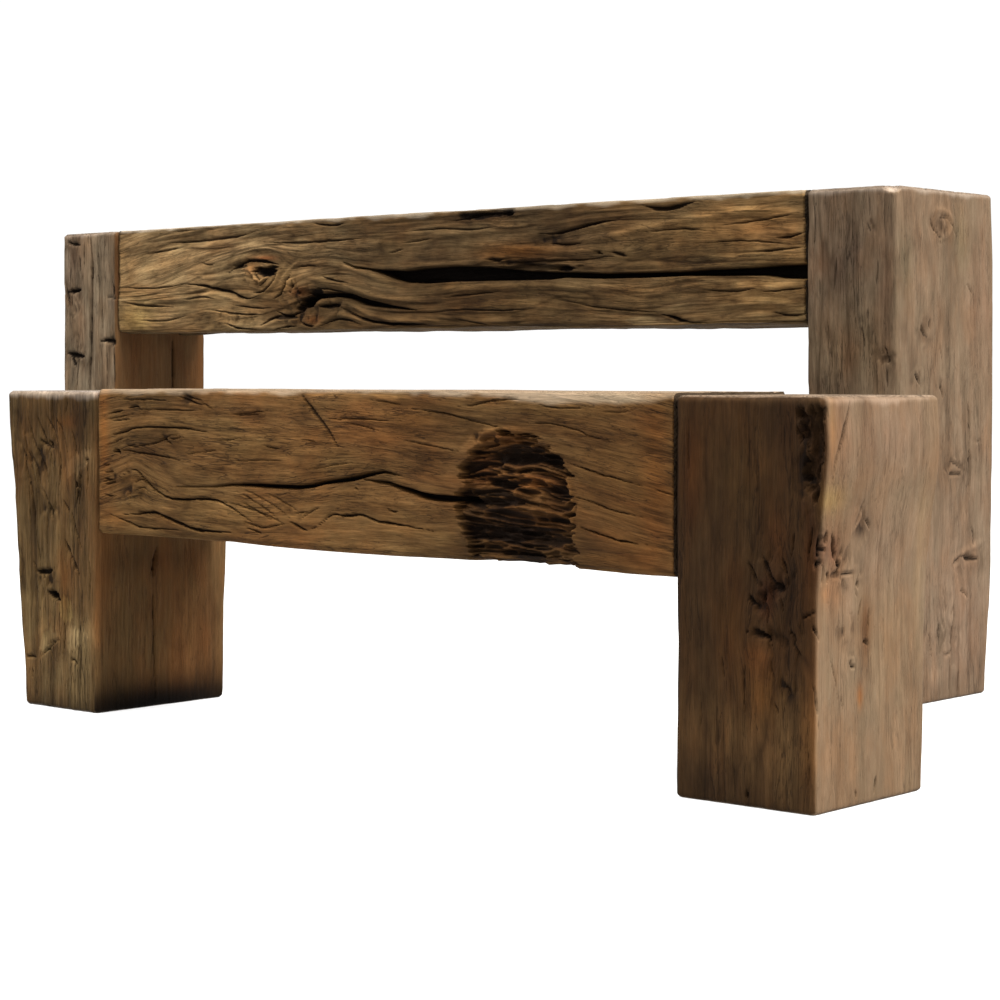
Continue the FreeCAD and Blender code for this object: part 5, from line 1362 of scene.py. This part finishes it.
TALL_RIGHT_OUTER_STAINS = (
    (908, 262, 7, 36, (0.86, 0.92, 0.88)), (897, 285, 4, 24, (0.75, 0.78, 0.76)),
    (965, 240, 8, 30, (0.92, 1, 0.95)), (950, 225, 10, 16, (1.1, 1.05, 1)),
    (985, 300, 14, 60, (1.05, 0.95, 0.93)), (940, 480, 12, 70, (0.9, 0.88, 0.86)),
    (960, 470, 12, 12, (0.85, 0.82, 0.8)), (972, 562, 12, 12, (0.85, 0.8, 0.76)),
    (938, 676, 10, 8, (1.25, 1.25, 1.25)), (965, 640, 40, 70, (1.22, 1.22, 1.28)),
    (962, 540, 50, 110, (1.2, 1.22, 1.28)),
)
tall_right.stains_and_painted_light(TALL_OUTER_FACE, TALL_RIGHT_OUTER_STAINS)
TALL_RIGHT_FRONT_STAINS = (
    (838, 270, 8, 24, (0.72, 0.7, 0.72)), (852, 250, 8, 20, (0.8, 0.76, 0.78)),
    (845, 350, 14, 26, (1.05, 0.92, 0.84)), (822, 265, 8, 14, (1.12, 0.98, 0.9)),
    (885, 300, 7, 50, (1.05, 0.95, 0.92)), (870, 350, 12, 40, (0.85, 0.85, 0.82)),
    (848, 350, 50, 50, (1.13, 1.13, 1.06)),
)
tall_right.stains_and_painted_light(TALL_FRONT_FACE, TALL_RIGHT_FRONT_STAINS)
tall_right.splits(BACK, half_wide=2.8, depth=7, seed=317)
tall_right.splits(LEFT, half_wide=2.8, depth=6, seed=319)
peg_rings(tall_right, "tall_right")
worn_top_and_painted_light(tall_right, TALL_POST_HEIGHT, seed=109)

# the chip at the top of the front outer arris: a bowl sunk in from the corner, its sound wood pale
CHIP_AT = np.array([0.737, 0.252, 0.752])
CHIP_SIZE = np.array([0.019, 0.019, 0.013])
CHIP_WAY, CHIP_DEPTH = np.array([-0.5, 0.5, -0.7]), 0.010
chip = ease(1.2 - np.linalg.norm((tall_right.points - CHIP_AT) / CHIP_SIZE, axis=-1))
tall_right.points += (CHIP_DEPTH * chip)[..., None] * CHIP_WAY
tall_right.pale = np.maximum(tall_right.pale, chip)
tall_right.tint = tall_right.tint * (1 + 0.7 * chip)[..., None]
tall_right.bleached_and_painted_top_light(share=0.4)
tall_right_post = timber_object("tall_right_post_timber", tall_right, pith=(0.665, 0.40))
tall_right_post.data.materials.append(weathered_wood(
    "tall right post wood", wood=(0.0715, 0.0476, 0.0288), warm=(0.072, 0.0456, 0.027),
    worn=(0.18, 0.143, 0.112), contrast=0.8, checking=0.5, mottled=0.3))
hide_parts("tall_right_post")
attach(tall_right_post, "root")


# Top beam of the tall bench
# The most weathered timber: a split runs out at its right end, and at its left the grain swirls round
# two rotted knots, one like an eye and one like a cleft.

TOP_UNDERSIDE, TOP_HEIGHT, TOP_DEPTH = 0.550, 0.753, 0.214
TALL_WAVE = 0.005
TALL_BEAM_FRONT = TALL_CORNER[1] + BEAM_SETBACK
TOP_FACE = (1, TALL_BEAM_FRONT, FRONT)
TALL_WAVE_SHARES = (
    (0, 0.4, 0, 0.2), (0.2, 0.2, 0.4, 0.6), (0.4, 0, 0.2, 0.3), (0.6, -0.1, 0.5, 0.2),
    (0.8, -0.3, 0.3, 0.8), (1, -0.4, 0, 0.4),
)
top = beam_surface(
    TALL_CORNER, start=TALL_LEFT_WIDTH + SHOULDER_GAP,
    length=TALL_LENGTH - TALL_LEFT_WIDTH - TALL_RIGHT_WIDTH - 2 * SHOULDER_GAP, front=BEAM_SETBACK,
    back=BEAM_SETBACK + TOP_DEPTH, low=TOP_UNDERSIDE, high=TOP_HEIGHT, wave=TALL_WAVE,
    shares=TALL_WAVE_SHARES, step=0.0062, spacing=(0.010, 0.0052, 0.0052, 0.0013),
    dense=(0.27, 0.60, 0.0026))
TOP_GRAIN_LINES = (
    ((118, 262), (150, 250), (200, 240), (250, 233), (310, 226), (380, 222), (450, 217), (560, 212),
      (650, 207), (804, 202)),
    ((118, 285), (150, 277), (190, 262), (230, 250), (260, 244), (310, 242), (360, 238), (430, 234),
      (520, 235), (560, 232), (600, 221), (660, 218), (720, 220), (804, 222)),
    ((118, 290), (160, 287), (185, 270), (215, 262), (240, 253), (262, 248), (280, 255), (300, 260),
      (330, 256), (360, 261), (420, 259), (500, 257), (600, 255), (700, 248), (804, 243)),
    ((118, 298), (165, 293), (200, 287), (235, 283), (262, 290), (285, 284), (300, 277), (330, 271),
      (352, 270), (380, 278), (450, 276), (557, 272), (650, 275), (750, 271), (804, 270)),
    ((118, 305), (170, 307), (210, 303), (248, 299), (265, 303), (285, 305), (300, 297), (335, 295),
      (370, 304), (410, 305), (480, 298), (560, 300), (600, 305), (650, 308), (720, 300), (804, 300)),
    ((118, 325), (160, 325), (200, 322), (250, 318), (300, 316), (345, 310), (370, 320), (440, 322),
      (520, 320), (600, 322), (680, 322), (804, 314)),
)
top.flow(TOP_FACE, TOP_GRAIN_LINES)
for beam_end in (RIGHT, LEFT):
    top.paint(beam_end, colour=BEAM_END_SHADE)
top.wander(amount=5.0, seed=113)
top.weather(hewn=5.5, groove=6.5, fibre=0.5, layer=3.6, seed=127, calm=((UP, 0.5),))
top.worn_arris(amount=4.0, seed=131)
TOP_RIDGES = (
    (3, 3, ((214, 269), (229, 262), (244, 257), (262, 258), (272, 262))),
    (2.5, 4, ((283, 261), (277, 271), (272, 283), (260, 293), (245, 300))),
    (2.2, 3.5, ((296, 261), (284, 271), (279, 279), (278, 286))),
    (1.8, 4, ((284, 279), (283, 286), (281, 293))),
    (2.5, 3, ((196, 289), (220, 295), (236, 301), (247, 304))),
    (4.5, 4, ((275, 304), (284, 301), (291, 307))), (2.5, 3.5, ((309, 307), (321, 300), (337, 300))),
    (2.6, 5, ((338, 304), (347, 303), (356, 309), (368, 316), (385, 320), (405, 321), (440, 321))),
    (3, 4, ((306, 331), (320, 323), (332, 314), (342, 315), (354, 318), (368, 323))),
    (3.2, 3.5, ((255, 331), (268, 323), (279, 318), (300, 321))),
    (3.5, 3.5, ((303, 265), (328, 263), (347, 268), (368, 274), (388, 284))),
    (3, 3, ((295, 274), (312, 280), (332, 284), (352, 290), (380, 299), (420, 301))),
    (3.5, 3, ((205, 318), (222, 322), (240, 330))),
    (2, 4, ((236, 270), (243, 268), (248, 270), (251, 277), (257, 283))),
    (1.6, 4, ((255, 284), (260, 281), (265, 277))),
    (3.5, 2.5, ((124, 300), (160, 296), (200, 294), (232, 303))),
    (3.5, 2.5, ((124, 276), (160, 268), (195, 255), (235, 247), (280, 246))),
    (3.5, 2.5, ((150, 262), (190, 248), (240, 240), (300, 238))),
    (4, 3, ((160, 312), (200, 310), (240, 316))),
    (4, 3, ((420, 292), (500, 287), (560, 285), (620, 290), (700, 296))),
    (4, 3, ((560, 246), (600, 238), (650, 226), (720, 214), (790, 206))),
    (4, 2.5, ((440, 244), (500, 246), (560, 252), (620, 247))),
    (4, 2.5, ((350, 246), (400, 238), (460, 234), (530, 226))),
    (4, 3, ((720, 286), (760, 288), (800, 284))), (4, 3, ((730, 304), (765, 301), (800, 306))),
    (3.5, 2.5, ((430, 314), (500, 303), (560, 307), (620, 317))),
)
top.ridges(TOP_FACE, TOP_RIDGES)
TOP_OPEN_SPLIT_UPPER_LIP = (
    (340, 262), (350, 266), (370, 269), (400, 270), (420, 267), (450, 265), (480, 266), (500, 268),
    (520, 270.5), (557, 271.5), (572, 272), (600, 273), (640, 272), (680, 271), (700, 269), (740, 267),
    (780, 264), (818, 262),
)
TOP_OPEN_SPLIT_LOWER_LIP = (
    (340, 263), (352, 269), (365, 270), (378, 275), (388, 280), (400, 283), (420, 284), (450, 282),
    (500, 281), (545, 280), (560, 278), (600, 279), (640, 278), (680, 276), (740, 276), (760, 276),
    (780, 279), (818, 280),
)
top.gap_between(TOP_FACE, TOP_OPEN_SPLIT_UPPER_LIP, TOP_OPEN_SPLIT_LOWER_LIP, depth=34)
TOP_CLEFT_UPPER_LIP = (
    (296, 304), (302, 298), (310, 293), (320, 293), (333, 292), (347, 293), (356, 297), (366, 300),
    (383, 304), (412, 309.5),
)
TOP_CLEFT_LOWER_LIP = (
    (296, 306), (302, 309), (308, 304), (316, 299), (333, 297.5), (347, 300), (356, 305), (366, 307),
    (383, 308.5), (412, 310.5),
)
top.gap_between(TOP_FACE, TOP_CLEFT_UPPER_LIP, TOP_CLEFT_LOWER_LIP, depth=24)
TOP_GNARLS = (
    (250, 278, 12, 8, 4), (290, 290, 16, 12, 5), (330, 308, 30, 8, 4), (300, 318, 26, 8, 4),
    (230, 318, 24, 8, 3), (480, 216, 30, 5, 4), (545, 240, 20, 8, 3), (610, 252, 16, 6, 3),
    (520, 262, 40, 4, 3),
)
top.gnarls(TOP_FACE, TOP_GNARLS, seed=135)
TOP_HOLLOWS = (
    (262, 271, 13, 5, 16, 0.95), (238, 267, 8, 2.5, 5, 0.55), (299, 292, 8, 5, 8, 0.35),
    (311, 294, 7, 5, 12, 0.9), (304, 302, 7, 6, 14, 0.95), (298, 309, 5, 4, 10, 0.8),
    (284, 317, 12, 2.5, 6, 0.7), (327, 306, 11, 2.5, 5, 0.7), (480, 215, 28, 4, 8, 0.8),
    (504, 212, 8, 4, 8, 0.9), (530, 262, 40, 3, 4, 0.5), (528, 268, 40, 4, 9, 0.45),
    (562, 269, 8, 4, 8, 0.8),
)
top.hollows(TOP_FACE, TOP_HOLLOWS, seed=137)
TOP_CRACKS = (
    (2.8, 7, ((178, 284), (200, 285), (217, 290), (229, 292), (238, 297), (246, 299), (257, 296))),
    (1.8, 4, ((118, 287), (140, 289), (165, 287), (182, 284))),
    (3.2, 8, ((226, 273), (233, 267), (241, 262), (247, 260), (262, 261), (275, 265))),
    (2.4, 6, ((274, 266), (272, 278), (265, 288), (257, 293), (248, 292))),
    (2.4, 6, ((287, 273), (281, 284), (277, 294), (270, 299))),
    (1.8, 5, ((251, 272), (254, 277), (258, 281))), (1.8, 5, ((256, 286), (262, 281), (266, 277))),
    (2, 5, ((288, 280), (288, 287), (285, 294))),
    (2.6, 7, ((272, 311), (280, 315), (288, 317), (296, 312), (295, 304), (292, 298))),
    (3.2, 8, ((339, 308), (348, 312), (356, 317), (369, 322), (391, 324), (430, 324))),
    (3, 7, ((316, 307), (326, 305), (337, 305))), (2.4, 5, ((296, 321), (304, 326), (311, 326))),
    (2.4, 5, ((258, 326), (268, 319), (278, 315))), (2.6, 6, ((222, 323), (237, 329), (258, 331))),
    (2.4, 5, ((268, 334), (280, 327), (294, 326))),
    (2.2, 5, ((318, 326), (332, 319), (344, 319), (360, 325))),
    (2, 4, ((230, 305), (250, 308), (268, 308))), (2, 4, ((205, 309), (225, 313), (245, 315), (262, 314))),
    (2, 4, ((293, 268), (300, 265), (315, 266))), (2, 4, ((318, 276), (332, 281), (345, 283))),
    (2, 4, ((310, 287), (330, 290), (350, 294))),
    (2, 3, ((482, 260), (510, 262), (557, 260), (580, 260), (600, 257), (620, 255))),
    (2.5, 4, ((260, 242), (285, 243), (310, 242), (360, 238))),
    (2.5, 4, ((160, 243), (200, 241), (240, 235), (255, 230))),
    (2, 3, ((145, 254), (165, 250), (180, 247))), (2, 3, ((170, 232), (185, 230), (200, 228))),
    (2.5, 4, ((310, 223), (330, 226), (345, 222))), (2, 3, ((400, 243), (415, 241), (430, 238))),
    (2, 3, ((385, 253), (400, 249))), (2.5, 4, ((120, 302), (140, 306), (170, 307))),
    (2.8, 6, ((535, 233), (550, 234), (565, 231), (580, 226), (600, 221), (617, 219))),
    (2.5, 4, ((545, 243), (562, 245), (580, 243))), (3.5, 6, ((592, 251), (598, 254))),
    (3.5, 5, ((608, 252), (616, 254), (624, 256))),
    (1.8, 3, ((560, 300), (600, 309), (640, 311), (658, 314))),
    (5, 8, ((658, 314), (668, 317), (680, 322), (692, 326), (702, 326))),
    (3, 5, ((774, 238), (790, 236), (803, 232))),
    (5, 6, ((640, 205), (650, 208), (665, 209), (680, 205), (694, 201))),
    (2.5, 4, ((770, 312), (785, 316), (804, 314))), (3, 5, ((772, 326), (788, 326), (804, 323))),
    (2.5, 4, ((760, 292), (780, 290), (804, 288))),
    (3, 6, ((450, 221), (465, 218), (480, 213), (500, 211), (513, 210))),
    (2, 3, ((135, 320), (160, 322), (185, 315))), (2.5, 4, ((180, 300), (200, 296), (212, 299))),
    (2, 3, ((440, 298), (470, 294), (500, 291))), (2, 3, ((400, 232), (440, 228), (470, 230), (500, 226))),
    (2, 3, ((640, 232), (680, 228), (710, 231))), (2, 3, ((700, 243), (740, 240), (790, 244))),
    (2, 3, ((720, 225), (750, 222), (800, 212))), (2, 3, ((420, 313), (460, 309), (500, 311), (540, 308))),
    (2, 3, ((700, 290), (730, 292), (755, 288))), (2, 3, ((198, 262), (206, 266), (212, 262))),
    (4, 5, ((483, 259), (492, 260), (500, 259))), (2.2, 4, ((750, 252), (775, 250), (804, 247))),
    (2, 3, ((445, 318), (470, 322), (490, 327))),
)
top.cracks(TOP_FACE, TOP_CRACKS)
# the first row is painted light, lightening the beam's left end
TOP_STAINS_AND_PAINTED_LIGHT = (
    (90, 290, 190, 90, (2.4, 2.5, 2.7)), (800, 250, 150, 70, (1.75, 1.75, 1.68)),
    (248, 250, 44, 14, (1.4, 1.4, 1.4)), (310, 306, 60, 20, (0.5, 0.48, 0.46)),
    (470, 300, 150, 26, (0.74, 0.72, 0.7)), (530, 240, 60, 30, (0.78, 0.78, 0.78)),
    (262, 258, 10, 2.5, (1.3, 0.85, 0.7)), (295, 292, 8, 5, (1.3, 0.88, 0.7)),
    (310, 320, 8, 5, (1.3, 0.9, 0.65)), (248, 268, 6, 6, (1.2, 1, 0.85)), (515, 252, 40, 9, (1.5, 1, 0.55)),
    (775, 228, 36, 16, (1.15, 1.02, 0.95)), (134, 320, 18, 18, (1.25, 1.2, 0.9)),
    (380, 232, 30, 12, (0.72, 0.7, 0.7)), (160, 265, 40, 24, (1.25, 1.25, 1.25)),
    (262, 280, 14, 6, (1.5, 1.5, 1.5)), (300, 275, 40, 12, (1.1, 1.1, 1.1)),
    (440, 300, 60, 20, (0.8, 0.78, 0.76)), (570, 240, 30, 14, (0.75, 0.75, 0.78)),
    (330, 315, 60, 10, (0.78, 0.75, 0.72)), (640, 318, 30, 10, (1.15, 1.2, 1.25)),
    (760, 302, 50, 26, (1.3, 1.27, 1.2)), (480, 217, 34, 7, (0.6, 0.5, 0.42)),
    (270, 300, 30, 12, (0.85, 0.8, 0.75)), (700, 252, 60, 12, (0.95, 0.93, 0.9)),
    (250, 310, 46, 22, (1.22, 1.22, 1.2)), (248, 246, 46, 14, (1.1, 1.1, 1.14)),
    (587, 235, 56, 25, (0.95, 0.87, 0.8)), (760, 235, 50, 25, (1.16, 1.15, 1.15)),
    (520, 308, 130, 26, (0.98, 0.9, 0.78)), (675, 308, 36, 24, (0.92, 0.95, 1)),
    (438, 285, 46, 3, (1.35, 1.35, 1.3)), (335, 310, 50, 24, (0.95, 0.93, 0.88)),
)
top.stains_and_painted_light(TOP_FACE, TOP_STAINS_AND_PAINTED_LIGHT)
TOP_SCRAPES = (
    (((622, 320), (630, 315), (645, 315), (658, 317), (670, 320), (684, 326), (645, 327), (630, 326)),
      (1.3, 1.45, 1.7)),
)
top.scrapes(TOP_FACE, TOP_SCRAPES, seed=141)
top.splits(BACK, half_wide=3.6, depth=10, seed=321)
top.splits(DOWN, half_wide=4.5, depth=7, seed=323)
worn_plank_top_and_painted_light(top, TOP_HEIGHT, seed=139)
top.bleached_and_painted_top_light(share=0.5)
top_beam = timber_object("tall_top_beam_timber", top, pith=(0.36, 0.60))
top_beam.data.materials.append(weathered_wood(
    "top beam wood", wood=(0.0558, 0.0339, 0.0141), warm=(0.062, 0.0339, 0.0122),
    worn=(0.198, 0.16, 0.114), contrast=1.1, checking=0.4, mottled=0.34))
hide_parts("tall_top_beam")
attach(top_beam, "root")


# Pegs
# Riven oak-like pegs, two to a joint, driven from behind and cut off just proud, so that only their
# weathered end grain shows.

PEG_DARK, PEG_LIGHT = (0.02, 0.012, 0.007), (0.1, 0.066, 0.038)
peg_wood = bpy.data.materials.new("peg wood")
peg_wood.use_nodes = True
peg_tree = peg_wood.node_tree
peg_place = new_node(peg_tree, "TexCoord").outputs["Object"]
peg_noise = new_node(peg_tree, "TexNoise", {"Vector": peg_place, "Scale": 420.0, "Detail": 5.0})
peg_grain = peg_noise.outputs["Fac"]
peg_bump = new_node(peg_tree, "Bump", {"Height": peg_grain, "Distance": 0.0008})
set_inputs(peg_tree.nodes["Principled BSDF"], {
    "Base Color": new_ramp(peg_tree, peg_grain, ((0.35, PEG_DARK), (0.7, PEG_LIGHT))),
    "Roughness": 0.85, "Specular IOR Level": 0.05, "Normal": peg_bump.outputs["Normal"]})
for node_name, node_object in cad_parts.items():
    if node_name.endswith("_peg"):
        node_object.data.materials.clear()
        node_object.data.materials.append(peg_wood)


# Floor, light and camera
# A pale floor, a broad light from the right and above, a fainter one from the front, a soft white room,
# and the photograph's camera.

floor_mesh = bpy.data.meshes.new("floor")
FLOOR_REACH = 40
floor_corners = [(FLOOR_REACH * x, FLOOR_REACH * y, 0) for x, y in ((-1, -1), (1, -1), (1, 1), (-1, 1))]
floor_mesh.from_pydata(floor_corners, [], [(0, 1, 2, 3)])
floor = bpy.data.objects.new("floor", floor_mesh)
bpy.context.scene.collection.objects.link(floor)
floor_paint = bpy.data.materials.new("floor paint")
floor_paint.use_nodes = True
set_inputs(floor_paint.node_tree.nodes["Principled BSDF"], {
    "Base Color": (0.25, 0.25, 0.25, 1), "Emission Color": (1, 1, 1, 1), "Emission Strength": 0.75,
    "Roughness": 0.9})
floor_mesh.materials.append(floor_paint)

room = bpy.data.worlds.new("room")
bpy.context.scene.world = room
room.use_nodes = True
set_inputs(room.node_tree.nodes["Background"], {"Color": (1, 1, 1, 1), "Strength": 1.05})


def soft_light(name, place, size, power, colour, target):
    """A square lamp at its place, turned to its target."""
    lamp = bpy.data.lights.new(name, "AREA")
    lamp.shape, lamp.size, lamp.energy, lamp.color = "SQUARE", size, power, colour
    light = bpy.data.objects.new(name, lamp)
    bpy.context.scene.collection.objects.link(light)
    way = np.array(target) - np.array(place)
    light.location = place
    light.rotation_euler = Vector(way).to_track_quat("-Z", "Y").to_euler()


soft_light("key", place=(5.5, 0.6, 4.2), size=2.6, power=1400.0,
           colour=(1.0, 0.97, 0.93), target=(0.4, 0.0, 0.3))
soft_light("front", place=(-0.6, -2.6, 4.8), size=2.2, power=420.0,
           colour=(1.0, 0.98, 0.96), target=(0.2, 0.0, 0.4))

lens = bpy.data.cameras.new("camera")
lens.sensor_width = 36.0
lens.lens = FOCAL_PIXELS / PICTURE_PIXELS * lens.sensor_width
lens.shift_y = (HORIZON_PIXEL - PICTURE_PIXELS / 2) / PICTURE_PIXELS
camera = bpy.data.objects.new("camera", lens)
camera_turn = Vector(CAMERA_WAY).to_track_quat("-Z", "Y").to_matrix().to_4x4()
camera.matrix_world = Matrix.Translation(CAMERA_AT) @ camera_turn
bpy.context.scene.collection.objects.link(camera)
bpy.context.scene.camera = camera
bpy.context.scene.view_settings.view_transform = "Standard"
